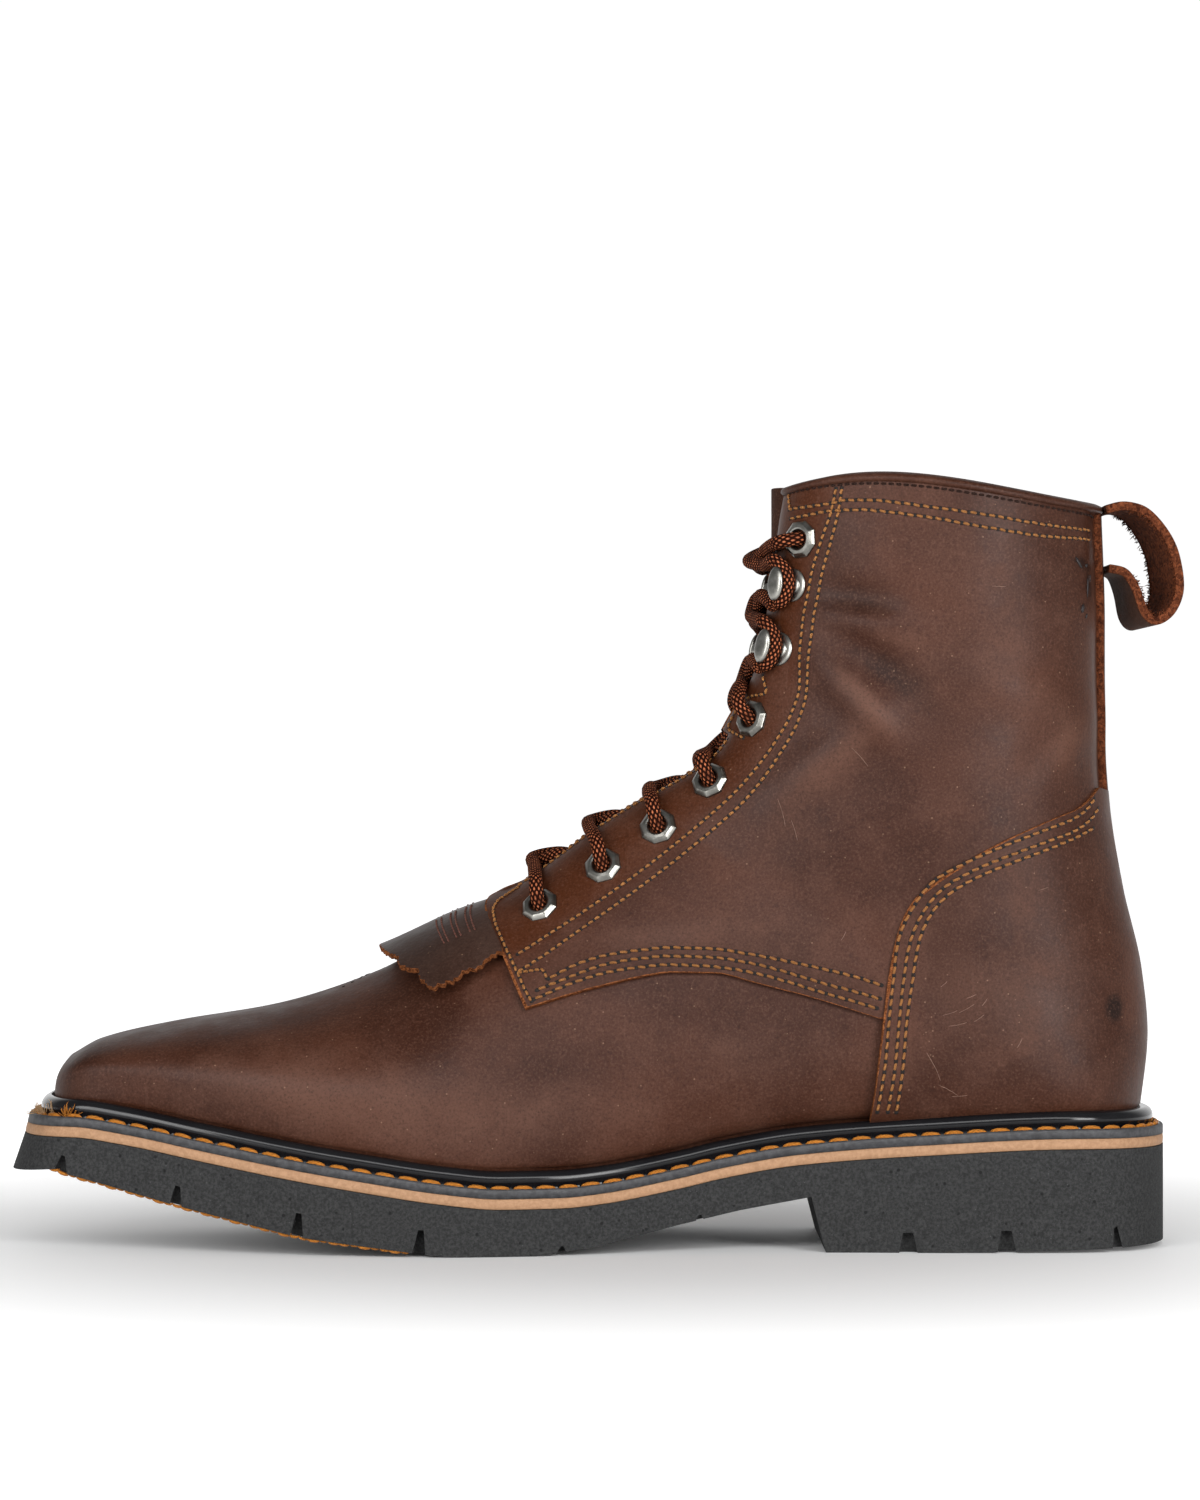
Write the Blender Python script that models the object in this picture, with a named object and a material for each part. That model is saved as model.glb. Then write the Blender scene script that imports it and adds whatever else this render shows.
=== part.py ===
"""Kiltie work boot for the right foot: lace-up shaft, square toe, storm welt and lug sole.

Tables and lengths are in millimetres.  In them u runs back from the toe tip, y runs to the
lateral side (the medial side is negative) and z is the height over the floor.
"""
import math

import bmesh
import bpy
import numpy as np

MM = 0.001
GAP = 0.3

# Driving sizes of the sole
WELT_TOE_U = 3.3
SOLE_END_U = 309.6
TOE_ROUND = 16.0
TOE_POWER = 2.9
HEEL_ROUND = 30.0
HEEL_POWER = 2.25
TOE_OVERHANG = 7.7
HEEL_OVERHANG = 8.6
MIDSOLE_THICK = 2.5
TOE_FLARE = 3.3
TOE_FLARE_REACH = 40.0
INSOLE_THICK = 3.6

# Driving sizes of the upper
WALL = 2.0
BEAD_TOP = 7.3
FEATHER_RISE = 7.7
SKIRT_RISE = 0.7
COLLAR_BACK_Z = 199.0
COLLAR_CROWN = 4.4
CROWN_PEAK = 4 / 27
CROWN_FROM_V = 1.45
WIDEST_SHARE = 0.45
THROAT_V = 0.69
COLLAR_V = 2.0

# Overlays on the upper
LIFT = 0.42
QUARTER_THICK = 1.4
COUNTER_THICK = 2.1
BAND_THICK = 2.0
BAND_FROM_V = 1.955
STRIP_HALF = 10.0
STRIP_THICK = 1.9

# Tongue and kiltie
TONGUE_DEPTH = 3.7
TONGUE_THICK = 2.0
TONGUE_LAP = 4.5
KILTIE_TIP_V = 0.462
KILTIE_END_V = 0.765
KILTIE_HALF = 31.0
KILTIE_THICK = 1.8
KILTIE_STAND = 4.3
KILTIE_STAND_POWER = 0.95
KILTIE_TEETH = 6
KILTIE_BITE_V = 0.012
KILTIE_SWEEP_V = 0.045
KILTIE_SIDE_GAP = 2.3
KILTIE_TILT = math.radians(30)
KILTIE_LEAN = 0.75

# Hardware and lace
EYELET_OUTER = 4.7
EYELET_BORE = 2.4
EYELET_RISE = 1.5
EYELET_SIDES = 8
HOOK_ROWS = (6, 7)
LACE_RADIUS = 2.1
LACE_SIDES = 6
LACE_STEPS = 6
LACE_OVER = 0.9
LACE_EDGE_SHARE = 0.22
LACE_END_SHARE = 0.78
LACE_END_HALF = 0.62
LACE_END_RISE = 0.85
LACE_START_GAP = 1.5
LACE_UP = (-0.5, 0.0, 0.85)

# Pull loop
LOOP_WIDTH = 22.0
LOOP_THICK = 2.2

MEDIAL = -1
LATERAL = 1
SIDE_NAMES = {MEDIAL: "medial", LATERAL: "lateral"}


def table(columns, rows):
    """A short table as a dictionary of arrays, one for each named column."""
    return {name: np.array(values, float) for name, values in zip(columns, zip(*rows))}


# Half widths of the welt's edge before the toe and heel are rounded off
PLAN = table(("u", "medial", "lateral", "overhang"), (
    (0, 34.0, 33.0, 6.4),
    (30, 39.5, 38.5, 6.2),
    (60, 46.0, 47.0, 6.2),
    (90, 50.0, 54.0, 6.2),
    (112, 50.3, 56.0, 6.2),
    (140, 46.5, 55.0, 6.2),
    (170, 39.0, 51.0, 6.4),
    (195, 35.5, 46.0, 6.8),
    (220, 35.0, 41.5, 7.6),
    (250, 36.5, 39.0, 8.2),
    (280, 37.5, 38.2, 8.4),
    (310, 37.5, 37.8, 8.4),
))

# Top of the tan layer along the side: toe spring, tread line, waist and heel seat
TAN_TOP = table(("u", "z"), (
    (0, 33.5),
    (18, 33.3),
    (32, 31.5),
    (53, 27.4),
    (74, 23.3),
    (95, 19.7),
    (116, 16.5),
    (132, 15.0),
    (147, 15.1),
    (158, 16.0),
    (179, 19.8),
    (190, 22.3),
    (210, 25.7),
    (242, 28.2),
    (284, 30.1),
    (310, 29.8),
))

# Underside of the outsole from toe tip to heel breast, and the flat heel
TREAD = table(("u", "z"), (
    (0, 20.8),
    (15, 22.2),
    (18, 21.0),
    (44, 13.7),
    (79, 5.2),
    (111, 0.9),
    (119, 0.0),
    (141, 0.0),
    (158, 2.4),
    (178, 7.4),
    (195, 11.3),
    (212, 14.4),
    (216.8, 0.0),
    (310, 0.0),
))

# Cuts across the tread: where they start, their width at the floor and their depth
GROOVES = table(("u", "wide", "deep"), (
    (15.2, 3.2, 4.6),
    (44.6, 3.2, 5.2),
    (76.6, 3.4, 6.3),
    (108.6, 3.4, 6.3),
    (146.4, 2.4, 1.6),
    (183.0, 2.0, 1.3),
    (236.7, 4.9, 5.3),
    (262.6, 4.9, 5.6),
    (293.2, 2.8, 5.9),
))
GROOVE_WALL = 0.7

# Welt section: from the edge, and then from the feather line, with the height over the midsole
WELT_SECTION = table(("from_edge", "feather_share", "rise"), (
    (0.0, 0.0, GAP),
    (0.0, 0.0, 2.6),
    (2.9, 0.0, 2.9),
    (3.1, 0.0, 5.2),
    (-1.7, 1.0, BEAD_TOP),
    (-GAP, 1.0, 6.3),
    (-GAP, 1.0, GAP),
))

# Sections of the upper, toe to collar.  v is 0 at the toe, 1 at the heel seat and 2 at the collar
FORM = table(("v", "top_u", "top_z", "medial", "lateral", "widest", "low_power", "top_power"), (
    (0.00, 15.2, 50.8, 29.5, 28.5, 0.50, 2.0, 2.6),
    (0.04, 22.5, 54.8, 32.0, 31.0, 0.46, 2.0, 2.6),
    (0.15, 42.0, 59.4, 40.3, 40.8, 0.38, 2.0, 2.5),
    (0.30, 70.0, 64.2, 46.0, 50.5, 0.34, 2.0, 2.25),
    (0.45, 98.0, 73.4, 43.6, 50.3, 0.35, 2.0, 2.1),
    (0.60, 121.0, 86.3, 40.4, 45.5, 0.42, 2.0, 2.1),
    (0.70, 133.8, 92.8, 38.6, 42.0, 0.44, 2.0, 2.1),
    (0.80, 147.0, 102.3, 37.0, 39.0, 0.44, 2.0, 2.1),
    (0.90, 158.5, 110.9, 35.8, 37.0, 0.42, 2.1, 2.1),
    (1.00, 169.3, 117.6, 35.2, 36.2, 0.40, 2.25, 2.1),
    (1.15, 179.9, 123.4, 35.4, 36.2, 0.41, 2.25, 2.1),
    (1.30, 189.2, 129.7, 35.8, 36.4, 0.43, 2.2, 2.1),
    (1.45, 196.6, 141.3, 36.3, 36.8, 0.45, 2.15, 2.1),
    (1.65, 203.2, 162.6, 37.2, 37.5, 0.47, 2.1, 2.1),
    (1.85, 206.8, 186.8, 38.2, 38.4, 0.48, 2.05, 2.1),
    (2.00, 209.3, 203.2, 38.8, 39.0, 0.48, 2.0, 2.1),
))

# Half width of the open throat
THROAT = table(("v", "half"), (
    (0.69, 6.5),
    (0.85, 9.5),
    (1.10, 12.5),
    (1.45, 14.5),
    (2.00, 16.5),
))

# How far the middle of the tongue stands out between the throat edges
TONGUE_BULGE = table(("v", "rise"), (
    (0.69, 0.0),
    (1.30, 0.8),
    (1.65, 2.4),
    (1.80, 5.6),
    (2.00, 9.0),
))

# Back line of the wall over the heel seat
BACK = table(("rise", "u"), (
    (0.00, SOLE_END_U - HEEL_OVERHANG),
    (0.12, 303.0),
    (0.22, 301.5),
    (0.36, 296.4),
    (0.50, 292.8),
    (0.62, 291.6),
    (0.80, 291.6),
    (1.00, 290.6),
))

# Seams seen from the side
QUARTER_SEAM = table(("u", "z"), (
    (138.8, 64.4),
    (157.2, 69.9),
    (176.9, 73.8),
    (187.9, 73.7),
    (201.0, 70.6),
    (213.9, 67.3),
    (231.6, 61.9),
))
COUNTER_EDGE = table(("u", "z"), (
    (229.9, 46.0),
    (231.6, 55.0),
    (233.8, 73.0),
    (237.2, 87.0),
    (240.4, 93.0),
    (258.9, 106.2),
    (274.5, 113.6),
    (284.0, 117.6),
    (289.0, 122.5),
))
QUARTER_FRONT = table(("u", "z"), (
    (131.0, 97.0),
    (127.6, 91.0),
    (129.4, 84.5),
))
QUARTER_INNER_Y = 6.8
COUNTER_SEAM_STEP = 3
THROAT_FRONT_U = 126.0

# Where the shells that the overlays are cut from begin and end, and how far their cutters reach
QUARTER_FROM_V = 0.5
COUNTER_FROM_V = 0.66
COUNTER_TO_V = 1.62
COUNTER_TO_A = 0.85
STRIP_FROM_V = 1.535
BAND_GAP_V = 0.004
BEHIND_U = 325.0
ABOVE_Z = 230.0
ASIDE = 80.0

# Eyelet rows from the bottom: places in the side view, and how high the lace above them stands
# at the throat edge and where it crosses
LACE_ROWS = table(("u", "z", "edge_rise", "rise"), (
    (141.7, 91.3, 5.0, 5.8),
    (158.5, 101.9, 5.0, 3.6),
    (173.2, 112.3, 5.0, 2.2),
    (187.0, 124.6, 5.0, 2.2),
    (198.2, 141.1, 5.0, 2.6),
    (205.0, 159.8, 4.1, 4.4),
    (208.4, 176.6, 4.0, 7.2),
    (211.0, 188.6, 0.0, 0.0),
))

# Middle of the pull loop's strap, from the back strip round to the collar
LOOP_PATH = table(("u", "z"), (
    (294.4, 181.6),
    (298.4, 180.8),
    (301.8, 175.8),
    (304.0, 169.6),
    (307.0, 167.4),
    (311.0, 169.8),
    (313.6, 176.6),
    (312.2, 185.6),
    (308.0, 193.2),
    (303.0, 197.6),
    (298.2, 198.5),
    (293.6, 197.4),
))
LOOP_STEPS = 26

# Hook seen along the throat: out from the throat, and over the leather
HOOK_WIDTH = 6.0
HOOK_REACH = 3.6
HOOK_SECTION = table(("out", "rise"), (
    (-HOOK_REACH, 0.0),
    (4.6, 0.0),
    (4.6, 0.9),
    (-2.0, 0.9),
    (-2.0, 4.4),
    (3.0, 4.8),
    (3.0, 6.0),
    (-HOOK_REACH, 5.4),
))

# Finishes: colour, roughness and metallic value
FINISHES = {
    "black_rubber": ((0.035, 0.035, 0.037), 0.75, 0.0),
    "tan_rubber": ((0.46, 0.27, 0.15), 0.7, 0.0),
    "welt_black": ((0.02, 0.02, 0.021), 0.35, 0.0),
    "insole_board": ((0.32, 0.2, 0.12), 0.85, 0.0),
    "brown_leather": ((0.075, 0.032, 0.02), 0.55, 0.0),
    "dark_leather": ((0.06, 0.03, 0.022), 0.6, 0.0),
    "nickel": ((0.42, 0.41, 0.37), 0.32, 1.0),
    "lace_braid": ((0.11, 0.045, 0.028), 0.8, 0.0),
}


def smooth(x, xs, ys):
    """Cubic through the table's points with no overshoot between two rows."""
    step = np.diff(xs)
    rate = np.diff(ys) / step
    slope = np.empty(len(xs))
    slope[0] = rate[0]
    slope[-1] = rate[-1]
    same_way = rate[:-1] * rate[1:] > 0
    total = np.where(same_way, rate[:-1] + rate[1:], 1.0)
    slope[1:-1] = np.where(same_way, 2 * rate[:-1] * rate[1:] / total, 0.0)
    x = np.clip(x, xs[0], xs[-1])
    k = np.clip(np.searchsorted(xs, x, side="right") - 1, 0, len(xs) - 2)
    t = (x - xs[k]) / step[k]
    start = (1 + 2 * t) * (1 - t) ** 2 * ys[k] + t * (1 - t) ** 2 * step[k] * slope[k]
    end = t * t * (3 - 2 * t) * ys[k + 1] + t * t * (t - 1) * step[k] * slope[k + 1]
    return start + end


def form(name, v):
    return smooth(v, FORM["v"], FORM[name])


def tan_top(u):
    return smooth(u, TAN_TOP["u"], TAN_TOP["z"])


# Plan of the sole and the feather line


def toe_shape(q):
    """Share of the half width left by the square toe; q runs 0 to 1 along the plan."""
    span = TOE_ROUND / (SOLE_END_U - WELT_TOE_U)
    return (1 - np.clip(1 - q / span, 0, 1) ** TOE_POWER) ** (1 / TOE_POWER)


def heel_shape(q):
    span = HEEL_ROUND / (SOLE_END_U - WELT_TOE_U)
    return (1 - np.clip(1 - (1 - q) / span, 0, 1) ** HEEL_POWER) ** (1 / HEEL_POWER)


def plan_u(q, from_edge=0.0, share=0.0):
    start = WELT_TOE_U + from_edge + share * TOE_OVERHANG
    end = SOLE_END_U - from_edge - share * HEEL_OVERHANG
    return start + (end - start) * q


def plan_half(q, side, from_edge=0.0, share=0.0):
    """Half width of the outline set in from the welt's edge, as millimetres and as a share."""
    u = plan_u(q, from_edge, share)
    edge = smooth(u, PLAN["u"], PLAN[SIDE_NAMES[side]])
    inset = from_edge + share * smooth(u, PLAN["u"], PLAN["overhang"])
    return (edge - inset) * toe_shape(q) * heel_shape(q)


def plan_stations(toe_steps, side_steps, heel_steps):
    """Places along the plan: even angles round toe and heel, even lengths between."""
    length = SOLE_END_U - WELT_TOE_U
    toe_angle = np.linspace(0, math.pi / 2, toe_steps + 1)
    heel_angle = np.linspace(math.pi / 2, 0, heel_steps + 1)
    toe = TOE_ROUND / length * (1 - np.cos(toe_angle) ** (2 / TOE_POWER))
    heel = 1 - HEEL_ROUND / length * (1 - np.cos(heel_angle) ** (2 / HEEL_POWER))
    side = np.linspace(toe[-1], heel[0], side_steps + 1)
    return np.concatenate((toe, side[1:-1], heel))


# Surface of the upper


def back_line(rise):
    """Point of the back line; rise runs 0 at the heel seat to 1 at the collar."""
    seat = tan_top(SOLE_END_U - HEEL_OVERHANG) + FEATHER_RISE
    z = seat + (COLLAR_BACK_Z - seat) * rise
    return smooth(rise, BACK["rise"], BACK["u"]), z


def section_ends(v):
    """Lower and upper end of the section line, in the side view."""
    q = np.clip(v, 0, 1)
    feather_u = plan_u(q, 0, 1)
    back_u, back_z = back_line(np.clip(v - 1, 0, 1))
    on_back = v > 1
    low_u = np.where(on_back, back_u, feather_u)
    low_z = np.where(on_back, back_z, tan_top(feather_u) + FEATHER_RISE)
    return low_u, low_z, form("top_u", v), form("top_z", v)


def throat_half(v):
    return np.where(v < THROAT_V, 0.0, smooth(v, THROAT["v"], THROAT["half"]))


def crown(v, share):
    """Rise of the collar line over the straight section, highest two thirds of the way forward."""
    fade = np.clip((v - CROWN_FROM_V) / (COLLAR_V - CROWN_FROM_V), 0, 1) ** 2
    return COLLAR_CROWN * fade * share ** 2 * (1 - share) / CROWN_PEAK


def section_widths(v, side):
    """Half widths at the feather line, at the widest place and at the top edge."""
    q = np.clip(v, 0, 1)
    low = np.where(v < 1, plan_half(q, side, 0, 1), 0.0)
    return low, form(SIDE_NAMES[side], v) * toe_shape(q), throat_half(v)


def surface(v, a, side):
    """Outer face of the upper.  Each section is two quarters of a superellipse about its widest
    place, a = 0 at the feather or back line and 1 at the ridge or throat edge."""
    v, a = np.broadcast_arrays(np.asarray(v, float), np.asarray(a, float))
    low_u, low_z, top_u, top_z = section_ends(v)
    low_half, wide_half, top_half = section_widths(v, side)
    widest = form("widest", v)
    low_power = 2 / form("low_power", v)
    top_power = 2 / form("top_power", v)
    below = np.clip(a / WIDEST_SHARE, 0, 1) * math.pi / 2
    above = np.clip((a - WIDEST_SHARE) / (1 - WIDEST_SHARE), 0, 1) * math.pi / 2
    cosine = np.clip(np.cos(above), 0, 1)
    in_low = a < WIDEST_SHARE
    share_low = widest * (1 - np.clip(np.cos(below), 0, 1) ** low_power)
    share_top = widest + (1 - widest) * np.sin(above) ** top_power
    half_low = low_half + (wide_half - low_half) * np.sin(below) ** low_power
    half_top = top_half + (wide_half - top_half) * cosine ** top_power
    share = np.where(in_low, share_low, share_top)
    half = np.where(in_low, half_low, half_top)
    z = low_z + (top_z - low_z) * share + crown(v, share)
    return np.stack((low_u + (top_u - low_u) * share, side * half, z), axis=-1)


def surface_normal(v, a, side):
    """Unit normal that points out of the boot, from small steps in v and a."""
    v, a = np.broadcast_arrays(np.asarray(v, float), np.asarray(a, float))
    small = 0.002
    v0 = np.clip(v - small, 0, COLLAR_V)
    v1 = np.clip(v + small, 0, COLLAR_V)
    v0 = np.where((v >= THROAT_V) & (v0 < THROAT_V), v, v0)
    v1 = np.where((v < THROAT_V) & (v1 >= THROAT_V), v, v1)
    along = surface(v1, a, side) - surface(v0, a, side)
    across = surface(v, np.clip(a + small, 0, 1), side) - surface(v, np.clip(a - small, 0, 1), side)
    normal = np.cross(across, along) * side
    on_middle = np.abs(surface(v, a, side)[..., 1]) < 1e-6
    normal[..., 1] = np.where(on_middle, 0.0, normal[..., 1])
    return normal / np.linalg.norm(normal, axis=-1, keepdims=True)


def lifted(v, a, side, lift):
    return surface(v, a, side) + surface_normal(v, a, side) * lift


def address(u, z):
    """v and a of the point of the upper that the side view shows at (u, z)."""
    v = np.linspace(0, COLLAR_V, 801)
    low_u, low_z, top_u, top_z = section_ends(v)
    turn = (top_u - low_u) * (z - low_z) - (top_z - low_z) * (u - low_u)
    length = (top_u - low_u) ** 2 + (top_z - low_z) ** 2
    share = ((u - low_u) * (top_u - low_u) + (z - low_z) * (top_z - low_z)) / length
    inside = (share > -0.05) & (share < 1.05)
    k = np.argmin(np.where(inside, np.abs(turn) / np.sqrt(length), np.inf))
    s = np.clip(share[k], 0, 1)
    widest = form("widest", v[k])
    if s < widest:
        angle = math.acos(np.clip(1 - s / widest, 0, 1) ** (form("low_power", v[k]) / 2))
        return v[k], angle / (math.pi / 2) * WIDEST_SHARE
    angle = math.asin(np.clip((s - widest) / (1 - widest), 0, 1) ** (form("top_power", v[k]) / 2))
    return v[k], WIDEST_SHARE + angle / (math.pi / 2) * (1 - WIDEST_SHARE)


def addresses(points):
    return np.array([address(u, z) for u, z in zip(points["u"], points["z"])]).T


def share_at_half(v, side, half):
    """a of the place under the widest one where the wall is half wide, on the back of the boot."""
    wide = section_widths(v, side)[1]
    angle = np.arcsin(np.clip(half / wide, 0, 1) ** (form("low_power", v) / 2))
    return angle / (math.pi / 2) * WIDEST_SHARE


def top_point(v, y):
    """Point of the instep at lateral place y; between the throat edges it bridges them flat."""
    side = np.where(y < 0, MEDIAL, LATERAL)
    low_u, low_z, top_u, top_z = section_ends(v)
    medial = section_widths(v, MEDIAL)
    lateral = section_widths(v, LATERAL)
    wide_half = np.where(side < 0, medial[1], lateral[1])
    top_half = medial[2]
    reach = np.clip((np.abs(y) - top_half) / (wide_half - top_half), 0, 1)
    power = form("top_power", v)
    widest = form("widest", v)
    share = widest + (1 - widest) * (1 - reach ** power) ** (1 / power)
    z = low_z + (top_z - low_z) * share + crown(v, share)
    return np.stack((low_u + (top_u - low_u) * share, y, z), axis=-1)


def inward(v):
    """Unit direction from the top of a section to its foot."""
    low_u, low_z, top_u, top_z = section_ends(v)
    line = np.stack((low_u - top_u, np.zeros_like(low_u), low_z - top_z), axis=-1)
    return line / np.linalg.norm(line, axis=-1, keepdims=True)


# Meshes and objects


def clear_scene():
    for item in list(bpy.data.objects):
        bpy.data.objects.remove(item, do_unlink=True)


def make_materials():
    made = {}
    for name, (colour, roughness, metallic) in FINISHES.items():
        material = bpy.data.materials.new(name)
        material.use_nodes = True
        shader = material.node_tree.nodes["Principled BSDF"]
        shader.inputs["Base Color"].default_value = (*colour, 1.0)
        shader.inputs["Roughness"].default_value = roughness
        shader.inputs["Metallic"].default_value = metallic
        made[name] = material
    return made


def make_object(name, points, faces, finish, closed=True):
    """Mesh object from millimetre points; a closed one has its faces turned out."""
    mesh = bpy.data.meshes.new(name)
    mesh.from_pydata((np.asarray(points).reshape(-1, 3) * MM).tolist(), [], faces)
    work = bmesh.new()
    work.from_mesh(mesh)
    bmesh.ops.remove_doubles(work, verts=work.verts, dist=0.00001)
    if closed:
        bmesh.ops.recalc_face_normals(work, faces=work.faces)
    work.to_mesh(mesh)
    work.free()
    mesh.shade_smooth()
    mesh.materials.append(MATERIALS[finish])
    item = bpy.data.objects.new(name, mesh)
    bpy.context.collection.objects.link(item)
    item.parent = ROOT
    return item


def add_wall(item, thickness, outward):
    wall = item.modifiers.new("wall", "SOLIDIFY")
    wall.thickness = thickness * MM
    wall.offset = 1.0 if outward else -1.0
    wall.use_even_offset = False
    return item


def grid_faces(rows, columns, start=0, flip=False):
    """Quads of a grid of points stored row by row."""
    faces = []
    for i in range(rows - 1):
        for j in range(columns - 1):
            corner = start + i * columns + j
            quad = (corner, corner + 1, corner + columns + 1, corner + columns)
            faces.append(quad[::-1] if flip else quad)
    return faces


def two_sided(name, finish, build):
    """Sheet of two matching grids, medial and lateral, that share their middle points."""
    points = []
    faces = []
    for side in (MEDIAL, LATERAL):
        grid = build(side)
        rows, columns = grid.shape[:2]
        faces += grid_faces(rows, columns, len(points), flip=side == MEDIAL)
        points += grid.reshape(-1, 3).tolist()
    return make_object(name, points, faces, finish, closed=False)


def slab(name, finish, stations, half, top, bottom, foot_u=None):
    """Closed sole layer: at each station a medial and a lateral edge, above and below."""
    u = stations
    low_u = u if foot_u is None else foot_u
    corners = (
        np.stack((u, -half(MEDIAL), top), axis=-1),
        np.stack((u, half(LATERAL), top), axis=-1),
        np.stack((low_u, half(LATERAL), bottom), axis=-1),
        np.stack((low_u, -half(MEDIAL), bottom), axis=-1),
    )
    points = np.stack(corners, axis=1)
    count = len(u)
    faces = [(0, 1, 2, 3), tuple(4 * (count - 1) + k for k in (3, 2, 1, 0))]
    for i in range(count - 1):
        for k in range(4):
            n = (k + 1) % 4
            faces.append((4 * i + k, 4 * i + 4 + k, 4 * i + 4 + n, 4 * i + n))
    return make_object(name, points, faces, finish)


# Sole


def tread_profile():
    """Underside of the outsole with its grooves: rows of u and z."""
    u = list(TREAD["u"])
    for start, wide in zip(GROOVES["u"], GROOVES["wide"]):
        u = [place for place in u if not start <= place <= start + wide]
        u += [start, start + GROOVE_WALL, start + wide - GROOVE_WALL, start + wide]
    u = np.array(sorted(u))
    z = np.interp(u, TREAD["u"], TREAD["z"])
    for start, wide, deep in zip(GROOVES["u"], GROOVES["wide"], GROOVES["deep"]):
        z = np.where((u > start) & (u < start + wide), z + deep, z)
    return u, z


def make_outsole():
    tread_u, tread_z = tread_profile()
    plan = plan_u(plan_stations(6, 10, 6))
    inside = (tread_u > plan[1]) & (tread_u < plan[-2])
    u = np.unique(np.concatenate((plan, tread_u[inside])))
    u = u[np.concatenate(((True,), np.diff(u) > 0.15))]
    q = (u - WELT_TOE_U) / (SOLE_END_U - WELT_TOE_U)
    reach = np.clip(1 - (u - WELT_TOE_U) / TOE_FLARE_REACH, 0, 1)
    bottom = np.interp(u, tread_u, tread_z)
    top = tan_top(u) - MIDSOLE_THICK - GAP
    foot_u = u - TOE_FLARE * reach ** 2
    slab("outsole", "black_rubber", u, lambda side: plan_half(q, side), top, bottom, foot_u)


def make_midsole():
    q = plan_stations(6, 18, 6)
    u = plan_u(q)
    top = tan_top(u)
    slab("midsole", "tan_rubber", u, lambda side: plan_half(q, side), top, top - MIDSOLE_THICK)


def make_insole():
    q = plan_stations(6, 16, 6)
    inset = WALL + 2 * GAP
    u = plan_u(q, inset, 1)
    base = tan_top(u) + GAP
    slab("insole", "insole_board", u, lambda side: plan_half(q, side, inset, 1), base + INSOLE_THICK, base)


def make_welt():
    q = UPPER_STATIONS
    loop_q = np.concatenate((q, q[-2:0:-1]))
    loop_side = np.concatenate((np.full(len(q), MEDIAL), np.full(len(q) - 2, LATERAL)))
    rings = []
    for edge, share, rise in zip(*(WELT_SECTION[name] for name in ("from_edge", "feather_share", "rise"))):
        u = plan_u(loop_q, edge, share)
        medial = -plan_half(loop_q, MEDIAL, edge, share)
        lateral = plan_half(loop_q, LATERAL, edge, share)
        rings.append(np.stack((u, np.where(loop_side < 0, medial, lateral), tan_top(u) + rise), axis=-1))
    points = np.stack(rings, axis=1)
    count, width = points.shape[:2]
    faces = []
    for i in range(count):
        for k in range(width):
            n = (k + 1) % width
            m = (i + 1) % count
            faces.append((i * width + k, m * width + k, m * width + n, i * width + n))
    make_object("welt", points, faces, "welt_black")


# Upper and overlays


def make_upper():
    """Hollow wall: the section grid, and a straight skirt behind the bead."""
    v = UPPER_V
    a = UPPER_A
    low_count = int(np.sum(v <= 1))
    points = []
    faces = []
    for side in (MEDIAL, LATERAL):
        grid = surface(v[:, None], a[None, :], side)
        faces += grid_faces(len(v), len(a), len(points), flip=side == MEDIAL)
        start = len(points)
        points += grid.reshape(-1, 3).tolist()
        skirt = grid[:low_count, 0].copy()
        skirt[:, 2] -= FEATHER_RISE - SKIRT_RISE
        foot = len(points)
        points += skirt.tolist()
        for i in range(low_count - 1):
            quad = (foot + i, start + i * len(a), start + (i + 1) * len(a), foot + i + 1)
            faces.append(quad[::-1] if side == MEDIAL else quad)
    item = make_object("upper", points, faces, "brown_leather", closed=False)
    add_wall(item, WALL, outward=False)


def seam_line(points, steps, shift_u=0.0, shift_z=0.0):
    """Smooth side-view line through a table of seam points."""
    knots = np.arange(float(len(points["u"])))
    place = np.linspace(0, knots[-1], steps)
    u = smooth(place, knots, points["u"]) + shift_u
    z = smooth(place, knots, points["z"]) + shift_z
    return list(zip(u, z))


def prism(name, outline, y_from, y_to):
    """Cutter with a side-view outline that runs across the boot from y_from to y_to."""
    points = [(u, y, z) for y in (y_from, y_to) for u, z in outline]
    count = len(outline)
    faces = [tuple(range(count)), tuple(range(2 * count - 1, count - 1, -1))]
    for k in range(count):
        n = (k + 1) % count
        faces.append((k, n, count + n, count + k))
    item = make_object(name, points, faces, "brown_leather")
    item.hide_render = True
    item.display_type = "WIRE"
    return item


def keep_inside(item, cutter):
    cut = item.modifiers.new("outline", "BOOLEAN")
    cut.operation = "INTERSECT"
    cut.solver = "EXACT"
    cut.object = cutter


def make_counter():
    """Shell over the heel, cut to the counter's outline in the side view."""
    v = UPPER_V[(UPPER_V > COUNTER_FROM_V) & (UPPER_V < COUNTER_TO_V)]
    a = UPPER_A[UPPER_A < COUNTER_TO_A]
    item = two_sided("counter", "brown_leather", lambda side: lifted(v[:, None], a[None, :], side, LIFT))
    add_wall(item, COUNTER_THICK, outward=True)
    outline = seam_line(COUNTER_EDGE, 18)
    foot_u = np.linspace(BEHIND_U, outline[0][0], 8)
    outline += [(BEHIND_U, outline[-1][1])]
    outline += list(zip(foot_u, tan_top(foot_u) + FEATHER_RISE + 2 * GAP))
    keep_inside(item, prism("counter_cutter", outline, -ASIDE, ASIDE))


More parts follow.
